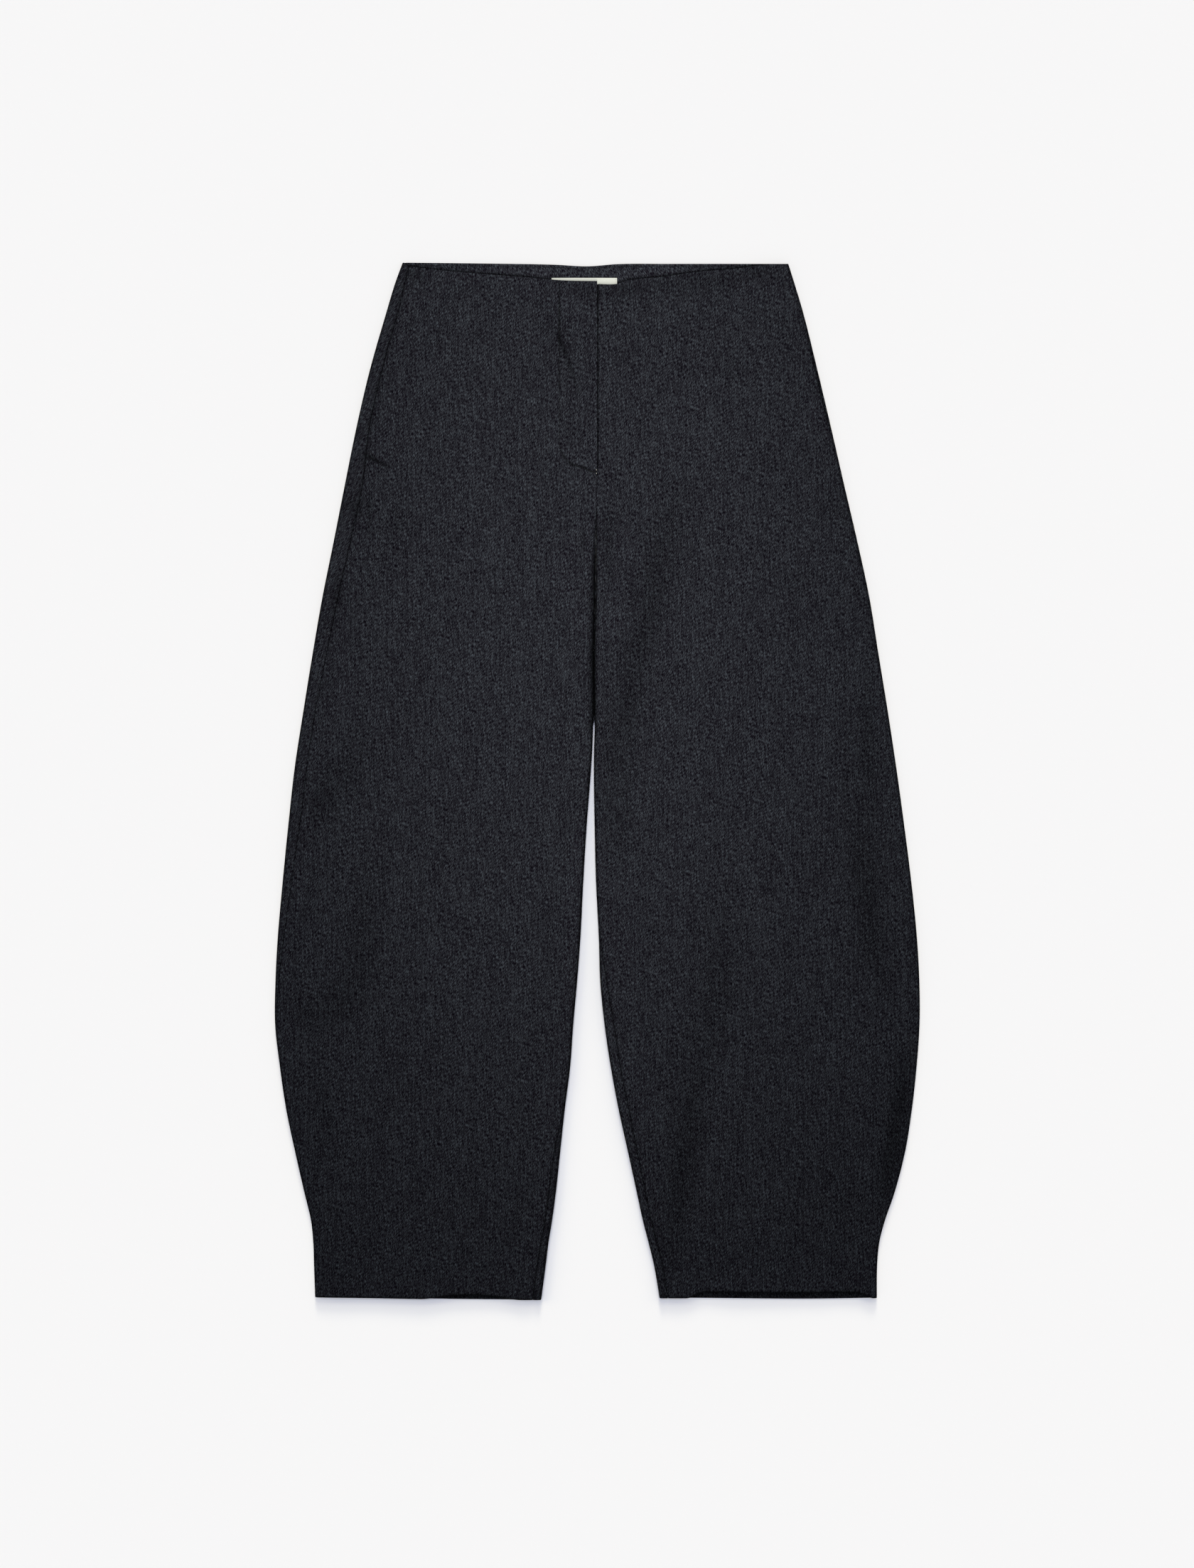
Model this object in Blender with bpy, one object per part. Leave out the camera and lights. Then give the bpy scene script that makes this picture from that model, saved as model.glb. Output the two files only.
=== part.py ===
"""Barrel leg trousers laid flat, made as the cloth pieces that they are sewn from.

The trousers lie on their back on a level surface, front up, with the waist towards +Y.
"Right" and "left" are the wearer's, so the right leg lies at negative X.
The origin is the middle of the underside, on the surface.
"""
import bmesh
import bpy
import numpy as np

for thing in list(bpy.data.objects):
    bpy.data.objects.remove(thing, do_unlink=True)

# Sizes are in millimetres and become metres where a mesh is made.
MM = 0.001
CLOTH = 1.1  # one layer of cloth
SEAM = 0.3  # space between two pieces
WAIST_Y = 490.0
HEM_Y = -490.0
LOFT = 5.0  # top of the slack cloth above the surface
ROLL_SHAPE = 1.2  # width of a rolled edge over half its height
ROLL_IN = 3.0  # where the height of a rolled edge is read, in from the outline
TRACK_STEP = 0.02  # step along a track for its slope

# The fork: above it the pieces of the two halves meet edge to edge, below it each leg rolls under.
FORK_TOP_Y = 268.0
FORK_Y = 224.0

# Each half, row by row from waist to hem. Distances across are outwards from the middle line:
# the outline, the front's and the back's edge at the middle or inside leg, and how far the side seam
# and the inseam lie on top of the leg, measured along the cloth from the outline.
COLUMNS = ("y", "outer", "front_in", "back_in", "side_wrap", "inseam_wrap")
RIGHT_HALF = (
    (490.0, 183.5, -0.15, 8.9, 8.0, 0.0),
    (470.0, 190.8, -0.15, 8.5, 10.5, 0.0),
    (443.0, 198.9, -0.15, 7.9, 12.0, 0.0),
    (389.0, 214.4, -0.15, 6.5, 12.8, 0.0),
    (335.0, 227.1, -0.15, 5.0, 13.5, 0.0),
    (282.0, 237.9, 0.3, 3.2, 17.8, 0.0),
    (224.0, 249.3, 1.2, 1.2, 17.0, 0.0),
    (174.0, 259.4, 1.9, 1.9, 16.1, 0.8),
    (120.0, 268.8, 3.1, 3.1, 14.5, 1.5),
    (66.0, 277.5, 3.1, 3.1, 12.5, 2.0),
    (13.0, 285.6, 6.0, 6.0, 13.0, 2.0),
    (-41.0, 291.6, 10.1, 10.1, 12.0, 2.0),
    (-95.0, 297.0, 13.4, 13.4, 9.8, 2.0),
    (-148.0, 301.7, 16.1, 16.1, 7.0, 2.0),
    (-189.0, 303.8, 19.2, 19.2, 4.5, 2.0),
    (-229.0, 304.2, 22.8, 22.8, 2.8, 2.0),
    (-270.0, 299.6, 25.8, 25.8, 2.3, 2.0),
    (-310.0, 293.7, 30.9, 30.9, 2.3, 2.8),
    (-350.0, 285.3, 35.3, 35.3, 2.3, 6.8),
    (-390.0, 276.2, 39.6, 39.6, 2.3, 7.8),
    (-415.0, 270.3, 43.0, 43.0, 2.3, 8.0),
    (-436.0, 268.1, 46.4, 46.4, 2.3, 8.4),
    (-458.0, 267.4, 49.1, 49.1, 2.3, 9.2),
    (-490.0, 266.2, 53.4, 53.4, 2.3, 9.2),
)
LEFT_HALF = (
    (490.0, 179.8, 0.45, -8.6, 2.6, 0.0),
    (470.0, 186.1, 0.45, -8.2, 2.6, 0.0),
    (443.0, 194.2, 0.45, -7.6, 2.6, 0.0),
    (389.0, 207.6, 0.45, -6.2, 2.6, 0.0),
    (335.0, 220.4, 0.45, -4.7, 2.6, 0.0),
    (282.0, 232.5, 0.0, -2.9, 2.6, 0.0),
    (224.0, 246.0, -0.8, -0.8, 2.6, 0.0),
    (174.0, 256.7, -1.4, -1.4, 2.6, 0.8),
    (120.0, 265.4, -2.5, -2.5, 2.6, 1.5),
    (66.0, 274.2, -2.0, -2.0, 2.6, 2.0),
    (13.0, 282.2, -2.7, -2.7, 2.6, 2.0),
    (-41.0, 289.6, -2.0, -2.0, 2.6, 2.0),
    (-95.0, 296.4, -0.7, -0.7, 2.6, 2.0),
    (-148.0, 301.7, 2.0, 2.0, 2.6, 3.0),
    (-189.0, 304.0, 3.4, 3.4, 2.6, 7.6),
    (-229.0, 304.2, 7.4, 7.4, 2.6, 10.2),
    (-270.0, 301.4, 13.4, 13.4, 2.6, 10.4),
    (-310.0, 297.0, 20.8, 20.8, 2.6, 10.8),
    (-350.0, 290.6, 29.6, 29.6, 2.6, 10.0),
    (-390.0, 280.2, 38.3, 38.3, 2.6, 9.4),
    (-415.0, 271.5, 43.7, 43.7, 2.6, 9.2),
    (-436.0, 266.1, 49.1, 49.1, 2.6, 9.2),
    (-458.0, 264.1, 54.4, 54.4, 2.6, 9.2),
    (-490.0, 263.8, 59.8, 59.8, 2.6, 9.2),
)

# How far an edge lies below the highest waist line, and above the lowest hem line, along X.
WAIST_DROP = {
    "front_right": ((-186.0, 2.5), (-152.0, 6.8), (-123.0, 9.6), (-68.0, 13.8), (-37.0, 16.9), (2.0, 17.9)),
    "front_left": ((0.0, 20.6), (18.0, 20.4), (39.0, 15.8), (61.0, 13.6), (94.0, 8.8), (129.0, 5.8),
                   (158.0, 2.1), (181.0, 1.2)),
    "back": ((-186.0, 0.0), (-111.0, 0.8), (-40.0, 2.0), (-9.0, 3.5), (20.0, 1.4), (67.0, 1.2), (181.0, 1.2)),
}
HEM_LIFT = ((-267.0, 2.5), (-53.0, 0.0), (60.0, 1.6), (203.0, 0.8), (264.0, 1.7))
HEM_ARC_RIGHT = {"middle": -119.0, "half_width": 46.0, "rise": 4.5, "power": 1.5}
HEM_ARC_LEFT = {"start": 84.0, "end": 262.0, "fade": 18.0, "rise": 6.0}
WAIST_FADE = 95.0  # an edge's drop or rise dies out this far into the panel
HEM_FADE = 90.0

# The largest folds: a curve through a start, middle and end point, its half width and its rise, which is
# negative for a trough.
FOLD_COLUMNS = ("x0", "y0", "x1", "y1", "x2", "y2", "half_width", "rise")
FOLD_SAMPLES = 31  # points along a fold's curve
FOLDS = (
    (67, 251, 30, 85, 13, -65, 26, -0.9),
    (81, 120, 84, 3, 96, -90, 38, 0.8),
    (114, -105, 111, -200, 87, -286, 26, -0.8),
    (94, -273, 82, -350, 67, -475, 22, -1.3),
    (140, -300, 135, -380, 120, -470, 30, 0.7),
    (255, 56, 254, -58, 262, -192, 24, -0.7),
    (-228, 40, -246, 0, -262, -35, 26, -0.8),
    (-218, -91, -228, -165, -250, -215, 26, -0.9),
    (34, 468, 98, 470, 161, 478, 20, -0.3),
    (-150, -20, -160, -180, -150, -340, 50, 0.7),
)

# The cloth stands higher where the shield and zip lie under the fly.
FLY_LIFT = 2.0
FLY_PLATEAU = {"x": (-42.0, 11.0), "y": (287.0, 520.0), "fade": 14.0}

FACING_DEPTH = 45.0
LABEL = {"x": (-43.0, 19.0), "y": (462.5, 476.5)}
SHIELD = {"x": (-38.0, 6.0), "y": (291.0, 461.5), "corner": 22.0}
ZIP = {"x": (-29.0, -3.0), "y": (299.0, 455.0)}
BAG = {"width": 135.0, "y": (236.0, 442.0), "corner": 60.0, "clear_of_outline": 6.0, "side_points": 7}
POCKET_MOUTH = {"y": (336.0, 410.0), "fade": 12.0, "gape": 1.0}

PANEL_ROWS = (490, 481, 468, 450, 425, 390, 350, 312, 288, 268, 256, 245, 234, 224, 208, 175, 130, 85, 40,
              -10, -65, -120, -170, -215, -255, -300, -345, -385, -415, -440, -466, -490)
FRONT_EDGE_STEPS = (0.0, 0.25, 0.5, 0.75, 1.0)
BACK_EDGE_STEPS = (0.0, 0.25, 0.45, 0.6, 0.7, 0.8, 0.9, 1.0)
FRONT_COLUMNS = 15  # columns between the two edge strips
BACK_COLUMNS = 4
EDGE_REACH = 3.5  # least width of an edge strip
PLACING_ROUNDS = 3  # times that the rows are placed, because their drop depends on where they lie
FACING_ROWS = (0.0, 0.3, 1.0)  # shares of its depth
FACING_COLUMNS = 13
ARC_STEPS = 6
SHARP_ANGLE = 40.0

CHARCOAL = (0.0176, 0.0185, 0.0230)
CREAM = (0.70, 0.66, 0.57)
ZIP_BLACK = (0.012, 0.012, 0.014)
CLOTH_ROUGHNESS = 0.85


def rise_between(value, start, end):
    """Smooth step: 0 up to start, 1 from end, and an S-curve between them."""
    t = np.clip((value - start) / (end - start), 0.0, 1.0)
    return t * t * (3.0 - 2.0 * t)


def smooth_through(knots, values, at):
    """Cubic through the points (knots, values), whose slope at each is the mean of its two sides."""
    width = np.diff(knots)
    slope = np.diff(values) / width
    tangent = np.concatenate((slope[:1], (slope[1:] + slope[:-1]) / 2, slope[-1:]))
    at = np.clip(at, knots[0], knots[-1])
    i = np.clip(np.searchsorted(knots, at) - 1, 0, len(width) - 1)
    t = (at - knots[i]) / width[i]
    start = (1 + 2 * t) * (1 - t) ** 2 * values[i] + t * (1 - t) ** 2 * width[i] * tangent[i]
    end = t * t * (3 - 2 * t) * values[i + 1] - t * t * (1 - t) * width[i] * tangent[i + 1]
    return start + end


def from_table(table, at):
    """Smooth value at the places of a table of (place, value) rows."""
    rows = np.array(table)
    return smooth_through(rows[:, 0], rows[:, 1], at)


def column(table, name, y):
    """Smooth value of one column of a half's table at the heights y."""
    rows = np.array(table)[::-1]
    return smooth_through(rows[:, 0], rows[:, COLUMNS.index(name)], y)


def folds(x, y):
    """Sum of the folds: each is a bell-shaped rise or trough across its curve, and dies out at the ends."""
    height = np.zeros(np.broadcast(x, y).shape)
    t = np.linspace(0.0, 1.0, FOLD_SAMPLES)
    start, middle, end = (1 - t) * (1 - 2 * t), 4 * t * (1 - t), t * (2 * t - 1)
    for row in FOLDS:
        fold = dict(zip(FOLD_COLUMNS, row))
        curve_x = start * fold["x0"] + middle * fold["x1"] + end * fold["x2"]
        curve_y = start * fold["y0"] + middle * fold["y1"] + end * fold["y2"]
        apart = (x[..., None] - curve_x) ** 2 + (y[..., None] - curve_y) ** 2
        strength = np.sin(np.pi * (0.1 + 0.8 * t[apart.argmin(axis=-1)]))
        height += fold["rise"] * strength * np.exp(-apart.min(axis=-1) / fold["half_width"] ** 2)
    return height


def top_height(x, y):
    """Height of the upper face: the slack cloth, its folds, and the step up over the fly's layers."""
    fade = FLY_PLATEAU["fade"]
    (x0, x1), (y0, y1) = FLY_PLATEAU["x"], FLY_PLATEAU["y"]
    over_fly = rise_between(x, x0 - fade, x0) * rise_between(-x, -x1 - fade, -x1)
    over_fly = over_fly * rise_between(y, y0 - fade, y0) * rise_between(-y, -y1 - fade, -y1)
    return LOFT + folds(x, y) + FLY_LIFT * over_fly


def rolled(along, height, roll):
    """Inset and height at a distance along a rolled edge, from its outermost point, positive on top.

    The edge is half an ellipse as high as the leg. A roll under 1 leaves only that much of each quarter,
    so at 0 the two layers end flat, one above the other.
    """
    half = height / 2
    width = ROLL_SHAPE * half
    quarter = np.pi / 2 * np.sqrt((width ** 2 + half ** 2) / 2)
    angle = np.pi / 2 * np.clip(along / quarter, -1.0, 1.0)
    inset = width * (np.sin(np.pi / 2 * roll) - np.cos(angle)) + np.maximum(abs(along) - quarter, 0.0)
    return inset, half * (1 + np.sin(angle)), along > quarter, quarter


class Half:
    """One half of the trousers: its tracks round the leg, in distance outwards and height."""

    def __init__(self, name, side, table):
        self.name, self.side, self.table = name, side, table

    def outer_track(self, along, y):
        """Point at a distance along the cloth from the outer outline, over the top where positive."""
        outer = column(self.table, "outer", y)
        edge_height = top_height(self.side * (outer - ROLL_IN), y)
        inset, z, on_top, _ = rolled(along, edge_height, 1.0)
        across = outer - inset
        return across, np.where(on_top, top_height(self.side * across, y), z)

    def inner_track(self, along, y, edge):
        """Point at a distance along the cloth from the inner edge, over the top where positive."""
        inner = column(self.table, edge, y)
        edge_height = top_height(self.side * (inner + ROLL_IN), y)
        inset, z, on_top, _ = rolled(along, edge_height, self.roll(y))
        across = inner + inset
        return across, np.where(on_top, top_height(self.side * across, y), z)

    def roll(self, y):
        """How far the inner edge rolls: 0 above the fork and 1 below it."""
        return rise_between(-y, -FORK_TOP_Y, -FORK_Y)

    def quarter(self, y, name, inward):
        """Length of the quarter roll at the outline or at the inner edge."""
        edge = column(self.table, name, y)
        height = top_height(self.side * (edge + inward * ROLL_IN), y)
        return rolled(0.0, height, 1.0)[3]

    def side_gap(self, y):
        """Half the space at the side seam, wider at the pocket mouth."""
        y0, y1 = POCKET_MOUTH["y"]
        fade = POCKET_MOUTH["fade"]
        open_here = rise_between(y, y0 - fade, y0) * rise_between(-y, -y1 - fade, -y1)
        return (SEAM + POCKET_MOUTH["gape"] * open_here) / 2

    def seam_ends(self, y, layer):
        """Distances along the cloth at which a layer ends, at the side and at the inner edge."""
        sign = 1 if layer == "front" else -1
        roll = self.roll(y)
        quarter = self.quarter(y, layer + "_in", 1)
        inner = sign * (1 - roll) * quarter + roll * (column(self.table, "inseam_wrap", y) + sign * SEAM / 2)
        return column(self.table, "side_wrap", y) + sign * self.side_gap(y), inner

    def wall(self, track, along, y, turn):
        """Outer and inner points of a wall on a track, the inner ones one cloth in, square to the track."""
        across, z = track(along, y)
        ahead_across, ahead_z = track(along + TRACK_STEP, y)
        behind_across, behind_z = track(along - TRACK_STEP, y)
        run, climb = ahead_across - behind_across, ahead_z - behind_z
        length = np.hypot(run, climb)
        normal_across, normal_z = turn * climb / length, -turn * run / length
        outer = np.stack((self.side * across, y, z), axis=-1)
        inner = np.stack((self.side * (across - CLOTH * normal_across), y, z - CLOTH * normal_z), axis=-1)
        return outer, inner


def moved_rows(x, y, layer, half, on_strip):
    """Heights of the rows, once the waist edge drops and the hem lifts, dying out into the panel."""
    if layer == "front":
        drop = from_table(WAIST_DROP["front_" + half.name], x)
        if half.name == "right":
            reach = np.clip(1 - ((x - HEM_ARC_RIGHT["middle"]) / HEM_ARC_RIGHT["half_width"]) ** 2, 0, 1)
            arc = HEM_ARC_RIGHT["rise"] * reach ** HEM_ARC_RIGHT["power"]
        else:
            start, end, fade = HEM_ARC_LEFT["start"], HEM_ARC_LEFT["end"], HEM_ARC_LEFT["fade"]
            arc = HEM_ARC_LEFT["rise"] * rise_between(x, start, start + fade)
            arc = arc * rise_between(-x, -end, fade - end)
    else:
        strip_drop = from_table(WAIST_DROP["front_" + half.name], x)
        drop = from_table(WAIST_DROP["back"], x) * (1 - on_strip) + strip_drop * on_strip
        arc = 0.0
    lift = from_table(HEM_LIFT, x) + arc
    waist = rise_between(y, WAIST_Y - WAIST_FADE, WAIST_Y)
    hem = rise_between(-y, -HEM_Y - HEM_FADE, -HEM_Y)
    return y - drop * waist + lift * hem


def panel(half, layer):
    """Outer and inner points of one panel: an edge strip at the side seam, columns between, and an edge
    strip at the inner edge."""
    base = np.array(PANEL_ROWS, dtype=float)[:, None]
    steps = np.array(FRONT_EDGE_STEPS if layer == "front" else BACK_EDGE_STEPS)
    between = np.linspace(0.0, 1.0, (FRONT_COLUMNS if layer == "front" else BACK_COLUMNS) + 2)[1:-1]
    wide = len(steps) * 2 + len(between)
    y = np.repeat(base, wide, axis=1)
    for _ in range(PLACING_ROUNDS):
        side_y, mid_y, inner_y = np.split(y, (len(steps), wide - len(steps)), axis=1)
        side_end, _ = half.seam_ends(side_y, layer)
        _, inner_end = half.seam_ends(inner_y, layer)
        side_quarter = half.quarter(side_y, "outer", -1)
        inner_quarter = half.quarter(inner_y, layer + "_in", 1)
        if layer == "front":
            side_along = side_end + steps * np.maximum(side_quarter - side_end, EDGE_REACH)
            inner_along = inner_end + steps[::-1] * np.maximum(inner_quarter - inner_end, EDGE_REACH)
        else:
            side_along = side_end - steps * np.maximum(side_end + side_quarter, EDGE_REACH)
            inner_along = inner_end - steps[::-1] * np.maximum(inner_end + inner_quarter, EDGE_REACH)
        side = half.wall(half.outer_track, side_along, side_y, 1)
        inner = half.wall(lambda a, b: half.inner_track(a, b, layer + "_in"), inner_along, inner_y, -1)
        first = half.side * side[0][:, -1:, 0]
        last = half.side * inner[0][:, :1, 0]
        across = first + (last - first) * between
        roll_start, _ = half.outer_track(half.quarter(mid_y, "outer", -1), mid_y)
        mid_along = half.quarter(mid_y, "outer", -1) + roll_start - across
        middle = half.wall(half.outer_track, mid_along if layer == "front" else -mid_along, mid_y, 1)
        outer_points = np.concatenate((side[0], middle[0], inner[0]), axis=1)
        inner_points = np.concatenate((side[1], middle[1], inner[1]), axis=1)
        wrap = np.clip(side_along / side_end, 0.0, 1.0)
        on_strip = np.concatenate((wrap, np.zeros((len(base), wide - len(steps)))), axis=1)
        y = moved_rows(outer_points[..., 0], np.repeat(base, wide, axis=1), layer, half, on_strip)
    return outer_points, inner_points


def cloth_material(name, colour):
    """Principled material of a cloth: matt, and no metal."""
    material = bpy.data.materials.new(name)
    material.use_nodes = True
    shader = material.node_tree.nodes["Principled BSDF"]
    shader.inputs["Base Color"].default_value = (*colour, 1.0)
    shader.inputs["Roughness"].default_value = CLOTH_ROUGHNESS
    shader.inputs["Metallic"].default_value = 0.0
    return material


def add_piece(name, data, colour):
    """Link a named object to the trousers' collection, with its own material."""
    piece = bpy.data.objects.new(name, data)
    data.materials.append(cloth_material(name + "_cloth", colour))
    trousers.objects.link(piece)
    return piece


def wall_piece(name, outer, inner, colour):
    """Closed wall between two grids of points: both faces, and a band round their border."""
    rows, columns = outer.shape[:2]
    far = rows * columns
    index = np.arange(far).reshape(rows, columns)
    corners = np.stack((index[:-1, :-1], index[1:, :-1], index[1:, 1:], index[:-1, 1:]), axis=-1)
    corners = corners.reshape(-1, 4)
    border = np.concatenate((index[0, :-1], index[:-1, -1], index[-1, :0:-1], index[:0:-1, 0]))
    following = np.roll(border, -1)
    band = np.stack((border, following, following + far, border + far), axis=-1)
    faces = np.concatenate((corners, corners[:, ::-1] + far, band))
    points = np.concatenate((outer.reshape(-1, 3), inner.reshape(-1, 3))) * MM
    mesh = bpy.data.meshes.new(name)
    mesh.from_pydata(points.tolist(), [], faces.tolist())
    work = bmesh.new()
    work.from_mesh(mesh)
    bmesh.ops.recalc_face_normals(work, faces=work.faces)
    work.to_mesh(mesh)
    work.free()
    mesh.shade_smooth()
    mesh.set_sharp_from_angle(angle=np.radians(SHARP_ANGLE))
    return add_piece(name, mesh, colour)


def flat_piece(name, outline, bottom, thickness, colour):
    """Flat piece: a closed outline of (x, y) points, its lower face at the given height."""
    data = bpy.data.curves.new(name, "CURVE")
    data.dimensions = "2D"
    data.fill_mode = "BOTH"
    data.extrude = thickness / 2 * MM
    spline = data.splines.new("POLY")
    spline.points.add(len(outline) - 1)
    for point, (x, y) in zip(spline.points, outline):
        point.co = (x * MM, y * MM, 0.0, 1.0)
    spline.use_cyclic_u = True
    piece = add_piece(name, data, colour)
    piece.location.z = (bottom + thickness / 2) * MM
    return piece


def corner_arc(x, y, radius, start):
    """Points of a quarter circle about (x, y), from the start angle on, anticlockwise."""
    angles = np.radians(start) + np.linspace(0.0, np.pi / 2, ARC_STEPS + 1)
    return [(x + radius * np.cos(a), y + radius * np.sin(a)) for a in angles]


def facing(half):
    """Facing along the waist, on the inside of the back: from just inside the roll to the centre back."""
    depth = np.array(FACING_ROWS)[:, None] * FACING_DEPTH
    steps = np.linspace(0.0, 1.0, FACING_COLUMNS)[None, :]
    y = WAIST_Y - depth + 0 * steps
    for _ in range(PLACING_ROUNDS):
        outline, _ = half.outer_track(-half.quarter(y, "outer", -1), y)
        across = outline + (column(half.table, "back_in", y) - outline) * steps
        y = moved_rows(half.side * across, WAIST_Y + 0 * y, "back", half, 0.0) - depth
    low = np.stack((half.side * across, y, 0 * y + CLOTH + SEAM), axis=-1)
    return low + np.array((0.0, 0.0, CLOTH)), low


def oblong(x0, x1, y0, y1):
    """Corners of an oblong, anticlockwise."""
    return [(x0, y0), (x1, y0), (x1, y1), (x0, y1)]


def shield_outline():
    """Fly shield: straight at the front's edge, with a round corner at its lower free end."""
    (x0, x1), (y0, y1), corner = SHIELD["x"], SHIELD["y"], SHIELD["corner"]
    return corner_arc(x0 + corner, y0 + corner, corner, 180) + [(x1, y0), (x1, y1), (x0, y1)]


def bag_outline(half):
    """Pocket bag: along the side just inside the roll, with a round corner low on its inner side."""
    (y0, y1), corner = BAG["y"], BAG["corner"]
    side_y = np.linspace(y1, y0, BAG["side_points"])
    side_x = column(half.table, "outer", side_y) - BAG["clear_of_outline"]
    inner_x = side_x[0] - BAG["width"]
    arc = corner_arc(inner_x + corner, y0 + corner, corner, 180)
    outline = list(zip(side_x, side_y)) + arc[::-1] + [(inner_x, y1)]
    return [(half.side * x, y) for x, y in outline]


trousers = bpy.data.collections.new("barrel_leg_trousers")
bpy.context.scene.collection.children.link(trousers)

SECOND_LAYER = CLOTH + SEAM
THIRD_LAYER = 2 * SECOND_LAYER
FOURTH_LAYER = 3 * SECOND_LAYER
for half in (Half("right", -1, RIGHT_HALF), Half("left", 1, LEFT_HALF)):
    wall_piece("front_" + half.name, *panel(half, "front"), CHARCOAL)
    wall_piece("back_" + half.name, *panel(half, "back"), CHARCOAL)
    wall_piece("back_facing_" + half.name, *facing(half), CHARCOAL)
    flat_piece("pocket_" + half.name, bag_outline(half), SECOND_LAYER, CLOTH, CHARCOAL)
flat_piece("label", oblong(*LABEL["x"], *LABEL["y"]), THIRD_LAYER, CLOTH, CREAM)
flat_piece("fly_shield", shield_outline(), THIRD_LAYER, CLOTH, CHARCOAL)
flat_piece("fly_zip", oblong(*ZIP["x"], *ZIP["y"]), FOURTH_LAYER, CLOTH, ZIP_BLACK)
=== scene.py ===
"""Barrel leg trousers laid flat, front up, on a pale floor and seen from straight above.

Each panel is a thin shell of charcoal twill on the form of its solid, with soft troughs, pressed seams and
rounded edges. The waist facing, the woven label and the sewing are pieces of their own.
"Right" and "left" are the wearer's, so the right leg lies at negative X, and the waist is towards +Y.
"""

import bpy
import numpy as np
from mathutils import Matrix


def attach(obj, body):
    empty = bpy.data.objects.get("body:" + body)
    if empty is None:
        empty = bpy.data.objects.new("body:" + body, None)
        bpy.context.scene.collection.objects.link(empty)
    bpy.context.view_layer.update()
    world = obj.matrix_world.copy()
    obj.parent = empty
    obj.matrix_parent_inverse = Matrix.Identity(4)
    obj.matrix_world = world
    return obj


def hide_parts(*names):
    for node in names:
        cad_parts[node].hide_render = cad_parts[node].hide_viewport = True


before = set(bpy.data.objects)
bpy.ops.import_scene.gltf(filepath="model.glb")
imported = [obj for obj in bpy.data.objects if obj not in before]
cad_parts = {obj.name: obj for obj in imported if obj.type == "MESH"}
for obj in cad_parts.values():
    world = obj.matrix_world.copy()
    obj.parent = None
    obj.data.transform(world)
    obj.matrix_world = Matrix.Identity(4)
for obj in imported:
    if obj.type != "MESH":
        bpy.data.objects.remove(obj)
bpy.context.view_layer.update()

# The trousers' sizes are in millimetres and become metres where a mesh is made.
MM = 0.001
CLOTH = 1.1  # one layer of cloth
SEAM = 0.3  # space between two pieces
WAIST_Y = 490.0
HEM_Y = -490.0
LOFT = 5.0  # top of the slack cloth above the floor
ROLL_SHAPE = 1.2  # width of a rolled edge over half its height
ROLL_IN = 3.0  # where the height of a rolled edge is read, in from the outline
TRACK_STEP = 0.02  # step along a track for its slope

# The fork: above it the pieces of the two halves meet edge to edge, below it each leg rolls under.
FORK_TOP_Y = 268.0
FORK_Y = 224.0

# Each half, row by row from waist to hem. Distances across are outwards from the middle line:
# the outline, the front's and the back's edge at the middle or inside leg, and how far the side seam
# and the inseam lie on top of the leg, measured along the cloth from the outline.
COLUMNS = ("y", "outer", "front_in", "back_in", "side_wrap", "inseam_wrap")
RIGHT_HALF = (
    (490.0, 183.5, -0.15, 8.9, 8.0, 0.0),
    (470.0, 190.8, -0.15, 8.5, 10.5, 0.0),
    (443.0, 198.9, -0.15, 7.9, 12.0, 0.0),
    (389.0, 214.4, -0.15, 6.5, 12.8, 0.0),
    (335.0, 227.1, -0.15, 5.0, 13.5, 0.0),
    (282.0, 237.9, 0.3, 3.2, 17.8, 0.0),
    (224.0, 249.3, 1.2, 1.2, 17.0, 0.0),
    (174.0, 259.4, 1.9, 1.9, 16.1, 0.8),
    (120.0, 268.8, 3.1, 3.1, 14.5, 1.5),
    (66.0, 277.5, 3.1, 3.1, 12.5, 2.0),
    (13.0, 285.6, 6.0, 6.0, 13.0, 2.0),
    (-41.0, 291.6, 10.1, 10.1, 12.0, 2.0),
    (-95.0, 297.0, 13.4, 13.4, 9.8, 2.0),
    (-148.0, 301.7, 16.1, 16.1, 7.0, 2.0),
    (-189.0, 303.8, 19.2, 19.2, 4.5, 2.0),
    (-229.0, 304.2, 22.8, 22.8, 2.8, 2.0),
    (-270.0, 299.6, 25.8, 25.8, 2.3, 2.0),
    (-310.0, 293.7, 30.9, 30.9, 2.3, 2.8),
    (-350.0, 285.3, 35.3, 35.3, 2.3, 6.8),
    (-390.0, 276.2, 39.6, 39.6, 2.3, 7.8),
    (-415.0, 270.3, 43.0, 43.0, 2.3, 8.0),
    (-436.0, 268.1, 46.4, 46.4, 2.3, 8.4),
    (-458.0, 267.4, 49.1, 49.1, 2.3, 9.2),
    (-490.0, 266.2, 53.4, 53.4, 2.3, 9.2),
)
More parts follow.
